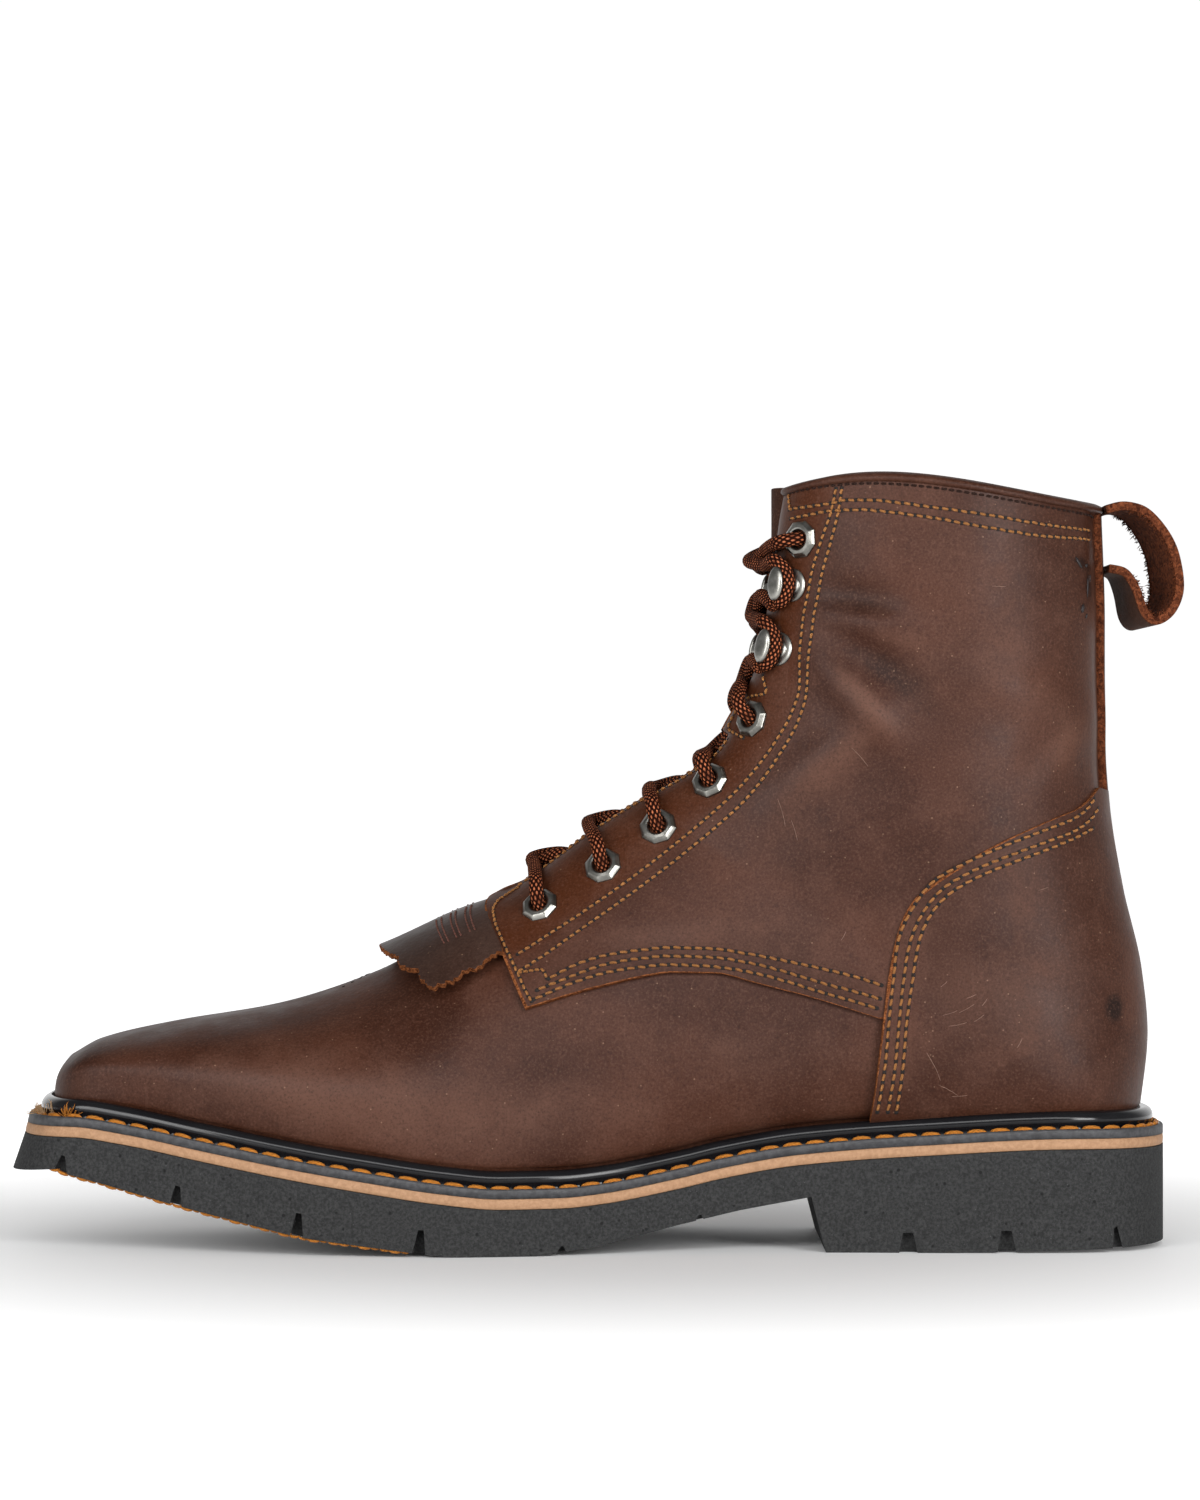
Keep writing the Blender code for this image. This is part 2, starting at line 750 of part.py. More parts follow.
def make_quarter(side):
    """Shell over one side of the shaft, cut to the quarter's outline in the side view."""
    v = UPPER_V[(UPPER_V > QUARTER_FROM_V) & (UPPER_V < BAND_FROM_V)]
    v = np.append(v, BAND_FROM_V - BAND_GAP_V)
    back_a = np.where(v > 1, share_at_half(v, side, STRIP_HALF + 2 * GAP), 0.0)
    a = np.broadcast_to(UPPER_A, (len(v), len(UPPER_A))).copy()
    a[:, 0] = back_a
    item_faces = grid_faces(len(v), len(UPPER_A), flip=side == MEDIAL)
    grid = lifted(v[:, None], a, side, LIFT)
    item = make_object("quarter_" + SIDE_NAMES[side], grid, item_faces, "brown_leather", closed=False)
    add_wall(item, QUARTER_THICK, outward=True)
    outline = seam_line(QUARTER_SEAM, 14)
    outline += seam_line(COUNTER_EDGE, 18, -GAP, GAP)[COUNTER_SEAM_STEP:]
    outline += [(BEHIND_U, outline[-1][1]), (BEHIND_U, ABOVE_Z), (THROAT_FRONT_U, ABOVE_Z)]
    outline += list(zip(QUARTER_FRONT["u"], QUARTER_FRONT["z"]))
    inner = side * QUARTER_INNER_Y
    outer = side * ASIDE
    cutter = prism("quarter_cutter_" + SIDE_NAMES[side], outline, min(inner, outer), max(inner, outer))
    keep_inside(item, cutter)


def make_collar_band():
    v = np.array((BAND_FROM_V, COLLAR_V))

    def grid(side):
        return lifted(v[:, None], UPPER_A[None, :], side, LIFT)

    add_wall(two_sided("collar_band", "brown_leather", grid), BAND_THICK, outward=True)


def make_back_strip():
    top = BAND_FROM_V - BAND_GAP_V
    v = np.concatenate(((STRIP_FROM_V,), UPPER_V[(UPPER_V > STRIP_FROM_V) & (UPPER_V < top)], (top,)))
    t = np.linspace(0, 1, 3)

    def grid(side):
        edge = share_at_half(v, side, STRIP_HALF)
        return lifted(v[:, None], edge[:, None] * t[None, :], side, LIFT)

    add_wall(two_sided("back_strip", "brown_leather", grid), STRIP_THICK, outward=True)


def make_tongue():
    v = np.linspace(THROAT_V + 0.01, COLLAR_V, 14)
    c = np.linspace(-1, 1, 7)
    y = c[None, :] * (throat_half(v) + TONGUE_LAP)[:, None]
    bulge = smooth(v, TONGUE_BULGE["v"], TONGUE_BULGE["rise"])[:, None]
    reach = np.clip(1 - (y / throat_half(v)[:, None]) ** 2, 0, 1)
    depth = TONGUE_DEPTH - bulge * reach
    grid = top_point(np.broadcast_to(v[:, None], y.shape), y) + inward(v)[:, None, :] * depth[..., None]
    item = make_object("tongue", grid, grid_faces(len(v), len(c), flip=True), "dark_leather", closed=False)
    add_wall(item, TONGUE_THICK, outward=False)


def kiltie_half(v, side):
    """Half width of the kiltie: full at the fringe, then kept clear of the quarter's edge."""
    z = np.linspace(QUARTER_SEAM["z"][0], QUARTER_FRONT["z"][1], 12)
    rising = {"u": np.append(QUARTER_SEAM["u"][0], QUARTER_FRONT["u"][:0:-1]),
              "z": np.append(QUARTER_SEAM["z"][0], QUARTER_FRONT["z"][:0:-1])}
    edge_u = np.interp(z, rising["z"], rising["u"]) - KILTIE_SIDE_GAP
    edge_v, edge_a = addresses({"u": edge_u, "z": z})
    edge_y = np.abs(surface(edge_v, edge_a, side)[:, 1])
    beside = np.maximum(np.interp(v, edge_v, edge_y), QUARTER_INNER_Y)
    stem = np.where(v < THROAT_V, beside, throat_half(v))
    return np.minimum(KILTIE_HALF, stem - KILTIE_SIDE_GAP)


def make_kiltie():
    """Flap with a toothed front edge that stands off the vamp and runs in under the lace."""
    c = np.linspace(-1, 1, 4 * KILTIE_TEETH + 1)
    p = np.linspace(0, 1, 8)
    tooth = 0.5 - 0.5 * np.cos(2 * math.pi * KILTIE_TEETH * (c + 1) / 2)
    front = KILTIE_TIP_V + KILTIE_SWEEP_V * c ** 2 + KILTIE_BITE_V * (1 - tooth)
    v = front[None, :] + (KILTIE_END_V - front)[None, :] * p[:, None]
    half = np.where(c[None, :] < 0, kiltie_half(v, MEDIAL), kiltie_half(v, LATERAL))
    y = c[None, :] * half
    stand = np.clip((THROAT_V - v) / (THROAT_V - KILTIE_TIP_V), 0, 1)
    lift = LIFT + KILTIE_STAND * stand ** KILTIE_STAND_POWER
    outside = np.array((-math.sin(KILTIE_TILT), 0.0, math.cos(KILTIE_TILT)))
    lean = (y / KILTIE_HALF)[..., None] * np.array((0.0, KILTIE_LEAN, 0.0))
    grid = top_point(v, y) + (outside + lean) * lift[..., None]
    item = make_object("kiltie", grid, grid_faces(len(p), len(c), flip=True), "dark_leather", closed=False)
    add_wall(item, KILTIE_THICK, outward=True)


# Hardware, lace and loop


def row_frame(row, side):
    """Seat of a lace row on the quarter: point, outward normal, direction away from the throat."""
    v, a = address(LACE_ROWS["u"][row], LACE_ROWS["z"][row])
    seat = lifted(v, a, side, LIFT + QUARTER_THICK + GAP)
    normal = surface_normal(v, a, side)
    out = surface(v, a - 0.01, side) - surface(v, a + 0.01, side)
    out = out - normal * np.dot(out, normal)
    return seat, normal, out / np.linalg.norm(out)


def make_eyelet(row, side):
    seat, normal, out = row_frame(row, side)
    along = np.cross(normal, out)
    section = ((EYELET_BORE, 0), (EYELET_OUTER, 0), (EYELET_OUTER, 0.6), (EYELET_BORE + 0.6, EYELET_RISE))
    angles = np.linspace(0, 2 * math.pi, EYELET_SIDES, endpoint=False)
    points = []
    for angle in angles:
        ray = math.cos(angle) * out + math.sin(angle) * along
        points += [seat + ray * radius + normal * rise for radius, rise in section]
    width = len(section)
    count = len(points)
    faces = []
    for i in range(EYELET_SIDES):
        for k in range(width):
            n = (k + 1) % width
            ring = i * width
            other = (ring + width) % count
            faces.append((ring + k, other + k, other + n, ring + n))
    make_object(f"eyelet_{SIDE_NAMES[side]}_{row + 1}", points, faces, "nickel")


def make_hook(row, side):
    seat, normal, out = row_frame(row, side)
    along = np.cross(normal, out)
    points = []
    for half in (-HOOK_WIDTH / 2, HOOK_WIDTH / 2):
        for place, rise in zip(HOOK_SECTION["out"], HOOK_SECTION["rise"]):
            points.append(seat + out * place + normal * rise + along * half)
    count = len(HOOK_SECTION["out"])
    faces = [tuple(range(count)), tuple(range(2 * count - 1, count - 1, -1))]
    for k in range(count):
        n = (k + 1) % count
        faces.append((k, n, count + n, count + k))
    make_object(f"hook_{SIDE_NAMES[side]}_{row + 1}", points, faces, "nickel")


def tube(name, path, radius, sides, finish):
    """Closed tube of straight pieces along a path of points."""
    path = np.asarray(path)
    tangent = np.gradient(path, axis=0)
    tangent /= np.linalg.norm(tangent, axis=1, keepdims=True)
    across = np.cross(tangent, np.array(LACE_UP))
    across /= np.linalg.norm(across, axis=1, keepdims=True)
    over = np.cross(across, tangent)
    angles = np.linspace(0, 2 * math.pi, sides, endpoint=False)
    ring = np.cos(angles)[None, :, None] * across[:, None, :]
    ring = ring + np.sin(angles)[None, :, None] * over[:, None, :]
    points = path[:, None, :] + radius * ring
    count = len(path)
    faces = [tuple(range(sides)), tuple(range((count - 1) * sides, count * sides))]
    for i in range(count - 1):
        for k in range(sides):
            n = (k + 1) % sides
            faces.append((i * sides + k, (i + 1) * sides + k, (i + 1) * sides + n, i * sides + n))
    return make_object(name, points, faces, finish)


def strand_path(row, side):
    """Lace from beside one row's eyelet or hook, across the throat, to the other edge one row up."""
    seat, normal, out = row_frame(row, side)
    reach = LACE_START_GAP + (HOOK_REACH + LACE_RADIUS if row + 1 in HOOK_ROWS else EYELET_OUTER)
    v_here = address(LACE_ROWS["u"][row], LACE_ROWS["z"][row])[0]
    v_next = address(LACE_ROWS["u"][row + 1], LACE_ROWS["z"][row + 1])[0]
    above = -inward(np.array(0.5 * (v_here + v_next)))
    start = seat + normal * (LACE_RADIUS + GAP) - out * reach
    edge_v = v_here + LACE_EDGE_SHARE * (v_next - v_here)
    edge = top_point(np.array(edge_v), side * throat_half(edge_v)) + above * LACE_ROWS["edge_rise"][row]
    middle_v = v_here + 0.5 * (v_next - v_here)
    middle = top_point(np.array(middle_v), np.array(0.0))
    middle = middle + above * (LACE_ROWS["rise"][row] - side * LACE_OVER)
    end_v = v_here + LACE_END_SHARE * (v_next - v_here)
    end = top_point(np.array(end_v), -side * throat_half(end_v) * LACE_END_HALF)
    end = end + above * LACE_ROWS["rise"][row] * LACE_END_RISE
    knots = np.array((start, edge, middle, end))
    place = np.linspace(0, 3, LACE_STEPS)
    return np.stack([smooth(place, np.arange(4.0), knots[:, k]) for k in range(3)], axis=-1)


def make_lace_cross(row):
    """Two strands that cross between two rows, joined where they meet."""
    name = f"lace_cross_{row + 1}"
    first = tube(name, strand_path(row, MEDIAL), LACE_RADIUS, LACE_SIDES, "lace_braid")
    second = tube(name + "_strand", strand_path(row, LATERAL), LACE_RADIUS, LACE_SIDES, "lace_braid")
    second.hide_render = True
    second.display_type = "WIRE"
    join = first.modifiers.new("join", "BOOLEAN")
    join.operation = "UNION"
    join.solver = "EXACT"
    join.object = second


def make_pull_loop():
    """Strap bent round in the middle plane, its two ends at the back strip and the collar."""
    knots = np.arange(float(len(LOOP_PATH["u"])))
    place = np.linspace(0, knots[-1], LOOP_STEPS)
    path = np.stack((smooth(place, knots, LOOP_PATH["u"]), smooth(place, knots, LOOP_PATH["z"])), axis=-1)
    tangent = np.gradient(path, axis=0)
    tangent /= np.linalg.norm(tangent, axis=1, keepdims=True)
    normal = np.stack((-tangent[:, 1], tangent[:, 0]), axis=-1)
    points = []
    for half, offset in ((-1, -1), (1, -1), (1, 1), (-1, 1)):
        edge = path + normal * offset * LOOP_THICK / 2
        y = np.full(len(path), half * LOOP_WIDTH / 2)
        points.append(np.stack((edge[:, 0], y, edge[:, 1]), axis=-1))
    grid = np.stack(points, axis=1)
    faces = [(0, 1, 2, 3), tuple(4 * (len(path) - 1) + k for k in (3, 2, 1, 0))]
    for i in range(len(path) - 1):
        for k in range(4):
            n = (k + 1) % 4
            faces.append((4 * i + k, 4 * i + 4 + k, 4 * i + 4 + n, 4 * i + n))
    make_object("pull_loop", grid, faces, "brown_leather")


def stand_on_origin():
    """Move the root so that the middle of the boot's box stands on the origin."""
    bpy.context.view_layer.update()
    corners = []
    for item in bpy.data.objects:
        if item.type == "MESH" and not item.hide_render:
            seen = item.evaluated_get(bpy.context.evaluated_depsgraph_get())
            corners += [seen.matrix_world @ vertex.co for vertex in seen.to_mesh().vertices]
    corners = np.array(corners)
    low = corners.min(axis=0)
    high = corners.max(axis=0)
    ROOT.location = (-(low[0] + high[0]) / 2, -(low[1] + high[1]) / 2, -low[2])


clear_scene()
MATERIALS = make_materials()
ROOT = bpy.data.objects.new("boot", None)
bpy.context.collection.objects.link(ROOT)
UPPER_STATIONS = plan_stations(6, 15, 6)
UPPER_V = np.sort(np.concatenate((UPPER_STATIONS, (THROAT_V,), np.linspace(1, COLLAR_V, 12)[1:])))
UPPER_A = np.linspace(0, 1, 11)

make_outsole()
make_midsole()
make_welt()
make_insole()
make_upper()
make_counter()
make_collar_band()
make_back_strip()
make_tongue()
make_kiltie()
make_pull_loop()
for side in (MEDIAL, LATERAL):
    make_quarter(side)
    for row in range(len(LACE_ROWS["u"])):
        if row + 1 in HOOK_ROWS:
            make_hook(row, side)
        else:
            make_eyelet(row, side)
for row in range(len(LACE_ROWS["u"]) - 1):
    make_lace_cross(row)
stand_on_origin()
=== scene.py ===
# %% [markdown]
# # A kiltie work boot, dressed
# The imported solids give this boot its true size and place.  Here each of them gets the surface
# that a bootmaker would recognise: waxed leather panels with raw edges, rows of stitches, a beaded
# welt, a speckled rubber sole, faceted eyelets and a braided lace.  The camera stands where the
# studio camera stood, level with the shaft and about a metre and a half from the medial side.

# %% Load the frame
import math

import bmesh
import bpy
import numpy as np
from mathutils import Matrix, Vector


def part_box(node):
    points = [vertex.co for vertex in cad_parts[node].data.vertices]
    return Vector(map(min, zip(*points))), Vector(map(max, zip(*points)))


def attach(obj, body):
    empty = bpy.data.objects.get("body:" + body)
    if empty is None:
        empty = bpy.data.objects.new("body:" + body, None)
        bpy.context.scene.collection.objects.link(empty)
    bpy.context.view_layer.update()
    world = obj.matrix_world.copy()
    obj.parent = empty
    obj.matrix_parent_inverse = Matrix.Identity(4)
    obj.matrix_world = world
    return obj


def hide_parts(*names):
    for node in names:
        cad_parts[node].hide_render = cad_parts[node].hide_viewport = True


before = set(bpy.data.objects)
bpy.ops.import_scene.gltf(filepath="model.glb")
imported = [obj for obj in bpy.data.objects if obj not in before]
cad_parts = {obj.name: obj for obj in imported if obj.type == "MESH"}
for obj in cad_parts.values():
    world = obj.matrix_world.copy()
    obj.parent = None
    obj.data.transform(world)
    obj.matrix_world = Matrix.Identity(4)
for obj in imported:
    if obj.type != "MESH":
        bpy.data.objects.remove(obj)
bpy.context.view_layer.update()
print("solids in the frame:", len(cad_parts))

# %% [markdown]
# ## The boot's own ruler
# All shapes below are worked out in millimetres on the last, as a bootmaker measures: u runs back
# from the toe tip, y runs to the lateral side (medial is negative) and z is the height over the
# floor.  One helper then shifts and shrinks the points into the frame, in metres.

# %% Ruler and small helpers
MM = 0.001
MEDIAL, LATERAL = -1, 1
SIDES = {MEDIAL: "medial", LATERAL: "lateral"}
ORIGIN = np.array((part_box("outsole")[0].x, -0.00285, 0.0))


def placed(points):
    """Millimetres on the last, turned into metres in the frame."""
    return np.asarray(points, float) * MM + ORIGIN


def table(columns, rows):
    """A short table as named columns of numbers."""
    return dict(zip(columns, np.array(rows, float).T))


def smooth(x, xs, ys):
    """Cubic through table points: each slope is the harmonic mean of its two neighbours, so the
    curve never overshoots a row."""
    xs, ys = np.asarray(xs, float), np.asarray(ys, float)
    step = np.diff(xs)
    rate = np.diff(ys) / step
    total = np.where(rate[:-1] * rate[1:] > 0, rate[:-1] + rate[1:], 1.0)
    inner = np.where(rate[:-1] * rate[1:] > 0, 2 * rate[:-1] * rate[1:] / total, 0.0)
    slope = np.concatenate((rate[:1], inner, rate[-1:]))
    x = np.clip(x, xs[0], xs[-1])
    k = np.clip(np.searchsorted(xs, x, side="right") - 1, 0, len(xs) - 2)
    t = (x - xs[k]) / step[k]
    start = (1 + 2 * t) * (1 - t) ** 2 * ys[k] + t * (1 - t) ** 2 * step[k] * slope[k]
    return start + t * t * (3 - 2 * t) * ys[k + 1] + t * t * (t - 1) * step[k] * slope[k + 1]


def unit(vectors):
    """Vectors divided by their own length."""
    return vectors / np.maximum(np.linalg.norm(vectors, axis=-1, keepdims=True), 1e-9)


def ease(t):
    """Smooth step: 3t² − 2t³ between 0 and 1."""
    t = np.clip(t, 0, 1)
    return t * t * (3 - 2 * t)


print("toe tip of the frame:", np.round(placed((0, 0, 0)), 4))

# %% [markdown]
# ## The last: one function for the whole leather wall
# A boot's upper is pulled over a wooden last, so every panel lies on one shared form.  The form is
# a fan of section lines.  v chooses the line: 0 at the toe, 1 at the heel seat, 2 at the collar.
# a runs along it: 0 at the feather line (or the back seam), 1 at the ridge or the throat edge.
# Each section is two quarters of a superellipse that meet at its widest place.

# %% Tables of the last
PLAN = table(("u", "medial", "lateral", "overhang"), (
    (0, 34.0, 33.0, 6.4), (30, 39.5, 38.5, 6.2), (60, 46.0, 47.0, 6.2), (90, 50.0, 54.0, 6.2),
    (112, 50.3, 56.0, 6.2), (140, 46.5, 55.0, 6.2), (170, 39.0, 51.0, 6.4), (195, 35.5, 46.0, 6.8),
    (220, 35.0, 41.5, 7.6), (250, 36.5, 39.0, 8.2), (280, 37.5, 38.2, 8.4), (310, 37.5, 37.8, 8.4)))
TAN_TOP = table(("u", "z"), (
    (0, 33.5), (18, 33.3), (32, 31.5), (53, 27.4), (74, 23.3), (95, 19.7), (116, 16.5), (132, 15.0),
    (147, 15.1), (158, 16.0), (179, 19.8), (190, 22.3), (210, 25.7), (242, 28.2), (284, 30.1), (310, 29.8)))
FORM = table(("v", "top_u", "top_z", "medial", "lateral", "widest", "low_power", "top_power"), (
    (0.00, 15.2, 50.8, 29.5, 28.5, 0.50, 2.0, 2.6),
    (0.04, 22.5, 54.8, 32.0, 31.0, 0.46, 2.0, 2.6),
    (0.15, 42.0, 59.4, 40.3, 40.8, 0.38, 2.0, 2.5),
    (0.30, 70.0, 64.2, 46.0, 50.5, 0.34, 2.0, 2.25),
    (0.45, 98.0, 73.4, 43.6, 50.3, 0.35, 2.0, 2.1),
    (0.60, 121.0, 86.3, 40.4, 45.5, 0.42, 2.0, 2.1),
    (0.70, 133.8, 92.8, 38.6, 42.0, 0.44, 2.0, 2.1),
    (0.80, 147.0, 102.3, 37.0, 39.0, 0.44, 2.0, 2.1),
    (0.90, 158.5, 110.9, 35.8, 37.0, 0.42, 2.1, 2.1),
    (1.00, 169.3, 117.6, 35.2, 36.2, 0.40, 2.25, 2.1),
    (1.15, 179.9, 123.4, 35.4, 36.2, 0.41, 2.25, 2.1),
    (1.30, 189.2, 129.7, 35.8, 36.4, 0.43, 2.2, 2.1),
    (1.45, 196.6, 141.3, 36.3, 36.8, 0.45, 2.15, 2.1),
    (1.65, 203.2, 162.6, 37.2, 37.5, 0.47, 2.1, 2.1),
    (1.85, 206.8, 186.8, 38.2, 38.4, 0.48, 2.05, 2.1),
    (2.00, 209.3, 203.2, 38.8, 39.0, 0.48, 2.0, 2.1)))
THROAT = table(("v", "half"), (
    (0.46, 0.0), (0.69, 6.5), (0.85, 9.5), (1.10, 12.5), (1.45, 14.5), (2.00, 16.5)))
BACK = table(("rise", "u"), (
    (0.00, 301.0), (0.12, 303.0), (0.22, 301.5), (0.36, 296.4), (0.50, 292.8), (0.62, 291.6),
    (0.80, 291.6), (1.00, 290.6)))
WELT_TOE_U, SOLE_END_U = 3.3, 309.6
TOE_ROUND, TOE_POWER = 16.0, 2.9
HEEL_ROUND, HEEL_POWER = 30.0, 2.25
TOE_OVERHANG, HEEL_OVERHANG = 7.7, 8.6
FEATHER_RISE = 7.7
COLLAR_BACK_Z = 199.0
COLLAR_CROWN, CROWN_FROM_V, CROWN_PEAK = 4.4, 1.45, 4 / 27
WIDEST_SHARE = 0.45
THROAT_V = 0.69
TOE_PUFF, PUFF_REACH = 1.1, 0.12
MIDSOLE_THICK = 2.5
TOE_FLARE, TOE_FLARE_REACH, TOE_SLANT = 3.3, 40.0, 0.25
SOLE_LENGTH = SOLE_END_U - WELT_TOE_U
print("sole length over the welt:", round(SOLE_LENGTH, 1), "mm")

# %% [markdown]
# ## The outline that sole and upper share
# A sole is cut round one pattern, and the welt, the tan layer and the foot of the upper all follow it.
# It could be drawn as a curve and offset, but then each layer would need a fit of its own.  Here the
# outline is a function: half widths from a table, times a square toe and a round heel, and each layer
# only says how far in from the edge it lies.

# %% Outline of the sole
def tan_top(u):
    """Height of the tan layer's top: toe spring, tread line, waist and heel seat."""
    return smooth(u, TAN_TOP["u"], TAN_TOP["z"])


def rounding(q):
    """Share of the half width that the square toe and the round heel leave at place q:
    one minus a power of the distance into the rounded end, taken to the inverse power."""
    toe = (1 - np.clip(1 - q * SOLE_LENGTH / TOE_ROUND, 0, 1) ** TOE_POWER) ** (1 / TOE_POWER)
    heel = (1 - np.clip(1 - (1 - q) * SOLE_LENGTH / HEEL_ROUND, 0, 1) ** HEEL_POWER) ** (1 / HEEL_POWER)
    return toe, heel


def plan_u(q, from_edge=0.0, share=0.0):
    """Place along the boot of an outline set in from the welt's edge."""
    start = WELT_TOE_U + from_edge + share * TOE_OVERHANG
    end = SOLE_END_U - from_edge - share * HEEL_OVERHANG
    return start + (end - start) * q


def side_half(q, side, from_edge=0.0, share=0.0):
    """Half width there before the heel turns in: the edge's table less the inset, rounded at the toe."""
    u = plan_u(q, from_edge, share)
    inset = from_edge + share * smooth(u, PLAN["u"], PLAN["overhang"])
    return (smooth(u, PLAN["u"], PLAN[SIDES[side]]) - inset) * rounding(q)[0]


def plan_half(q, side, from_edge=0.0, share=0.0):
    """Half width with the round heel too."""
    return side_half(q, side, from_edge, share) * rounding(q)[1]


def stations(toe_steps, side_steps, heel_steps):
    """Places along the outline: even angles round the ends and even lengths between them."""
    toe_angle = np.linspace(0, math.pi / 2, toe_steps + 1)
    heel_angle = np.linspace(math.pi / 2, 0, heel_steps + 1)
    toe = TOE_ROUND / SOLE_LENGTH * (1 - np.clip(np.cos(toe_angle), 0, 1) ** (2 / TOE_POWER))
    heel = 1 - HEEL_ROUND / SOLE_LENGTH * (1 - np.clip(np.cos(heel_angle), 0, 1) ** (2 / HEEL_POWER))
    side = np.linspace(toe[-1], heel[0], side_steps + 1)
    return np.concatenate((toe, side[1:-1], heel))


def loop_stations(toe_steps, side_steps, heel_steps):
    """The same places once round the boot: out along the medial side, home along the lateral."""
    q = stations(toe_steps, side_steps, heel_steps)
    sides = np.concatenate((np.full(len(q), MEDIAL), np.full(len(q) - 2, LATERAL)))
    return np.concatenate((q, q[-2:0:-1])), sides


def toe_share(u):
    """Share of the toe's flare and slant: one at the tip, falling off as a square."""
    return np.clip(1 - (u - WELT_TOE_U) / TOE_FLARE_REACH, 0, 1) ** 2


def loop_point(q, sides, from_edge, share, rise):
    """Points of the outline at a height over the tan layer's top; the toe slants back as it rises."""
    u = plan_u(q, from_edge, share)
    medial, lateral = (plan_half(q, side, from_edge, share) for side in SIDES)
    slant = TOE_SLANT * (1 - share) * (rise + MIDSOLE_THICK) * toe_share(u)
    return np.stack((u + slant, np.where(sides < 0, -medial, lateral), tan_top(u) + rise), axis=-1)


outline = loop_point(*loop_stations(8, 40, 8), 0, 0, 0)
print("widest place of the sole:", round(float(np.ptp(outline[:, 1])), 1), "mm")

# %% [markdown]
# ## The wall
# With the tables and the outline in place, the leather wall is one formula.  Sculpting it would be
# quicker to begin with, but no panel, seam or eyelet could then say where it lies.  The wall can also
# be read backwards: a place in the side view gives its v and a.

# %% The wall's surface
SEAT_Z = float(tan_top(SOLE_END_U - HEEL_OVERHANG)) + FEATHER_RISE
SEAT_TURN = 28.3
NORMAL_STEP = 0.004
SECTION_LINES, CROWN_TURNS, PAST_END = 2001, 5, 0.05


def form(name, v):
    """One column of the last's table at v."""
    return smooth(v, FORM["v"], FORM[name])


def throat_half(v):
    """Half width of the throat; in front of it the plateau of the ridge fades to nothing."""
    return smooth(v, THROAT["v"], THROAT["half"])


def section_ends(v):
    """Lower and upper end of a section line in the side view."""
    feather_u = plan_u(np.clip(v, 0, 1), 0, 1)
    rise = np.clip(v - 1, 0, 1)
    low_u = np.where(v > 1, smooth(rise, BACK["rise"], BACK["u"]), feather_u)
    low_z = np.where(v > 1, SEAT_Z + (COLLAR_BACK_Z - SEAT_Z) * rise, tan_top(feather_u) + FEATHER_RISE)
    return low_u, low_z, form("top_u", v), form("top_z", v)


def crown(v, share):
    """Rise of the collar line: share² (1 − share), fading in towards the collar."""
    fade = np.clip((v - CROWN_FROM_V) / (2 - CROWN_FROM_V), 0, 1) ** 2
    return COLLAR_CROWN * fade * share ** 2 * (1 - share) / CROWN_PEAK


def section_widths(v, side):
    """Half widths at the foot of the section, at its widest place and at its top."""
    q = np.clip(v, 0, 1)
    return side_half(q, side, 0, 1), form(SIDES[side], v) * rounding(q)[0], throat_half(v)


def heel_turn(v, height, u, z):
    """Share of the half width that the round back leaves: one minus a power of the distance in from
    the back line, to the inverse power; the turn is short at the seat and longer up the shaft."""
    behind = np.maximum(v, 1.0)
    low_u, low_z, top_u, top_z = section_ends(behind)
    widest, power = form("widest", behind), form("low_power", behind)
    length = SEAT_TURN + (widest * (low_u - top_u) - SEAT_TURN) * ease(height / widest)
    inward = smooth((z - SEAT_Z) / (COLLAR_BACK_Z - SEAT_Z), BACK["rise"], BACK["u"]) - u
    return (1 - np.clip(1 - inward / length, 0, 1) ** power) ** (1 / power)


def wall(v, a, side):
    """Outer face of the wall: below the widest place the share of the section is widest (1 − cos^p)
    and the half width grows from low to wide as a superellipse of the height, times the heel's turn;
    above it the half width is top + (wide − top) cos^p."""
    v, a = np.broadcast_arrays(np.asarray(v, float), np.asarray(a, float))
    low_u, low_z, top_u, top_z = section_ends(v)
    low_half, wide_half, top_half = section_widths(v, side)
    widest = form("widest", v)
    low_power, top_power = 2 / form("low_power", v), 2 / form("top_power", v)
    below = np.clip(a / WIDEST_SHARE, 0, 1) * math.pi / 2
    above = np.clip((a - WIDEST_SHARE) / (1 - WIDEST_SHARE), 0, 1) * math.pi / 2
    share_low = widest * (1 - np.clip(np.cos(below), 0, 1) ** low_power)
    share_top = widest + (1 - widest) * np.sin(above) ** top_power
    share = np.where(a < WIDEST_SHARE, share_low, share_top)
    u, z = low_u + (top_u - low_u) * share, low_z + (top_z - low_z) * share
    height = np.clip(np.where(v > 1, (z - SEAT_Z) / (form("top_z", 1.0) - SEAT_Z), share), 0, 1)
    full = (1 - np.clip(1 - height / widest, 0, 1) ** (2 / low_power)) ** (low_power / 2)
    half_low = (low_half + (wide_half - low_half) * full) * heel_turn(v, height, u, z)
    half_top = top_half + (wide_half - top_half) * np.clip(np.cos(above), 0, 1) ** top_power
    half = np.where(a < WIDEST_SHARE, half_low, half_top)
    puff = TOE_PUFF * np.clip(1 - v / PUFF_REACH, 0, 1) ** 2 * np.sin(math.pi * np.clip(share, 0, 1))
    return np.stack((u - puff, side * half, z + crown(v, share)), axis=-1)


def wall_normal(v, a, side):
    """Unit normal out of the boot: the cross product of small steps along a and along v."""
    v, a = np.broadcast_arrays(np.asarray(v, float), np.asarray(a, float))
    along = wall(np.clip(v + NORMAL_STEP, 0, 2), a, side) - wall(np.clip(v - NORMAL_STEP, 0, 2), a, side)
    across = wall(v, np.clip(a + NORMAL_STEP, 0, 1), side) - wall(v, np.clip(a - NORMAL_STEP, 0, 1), side)
    normal = np.cross(across, along) * side
    on_middle = np.abs(wall(v, a, side)[..., 1]) < 1e-6
    normal[..., 1] = np.where(on_middle, 0.0, normal[..., 1])
    return unit(normal)


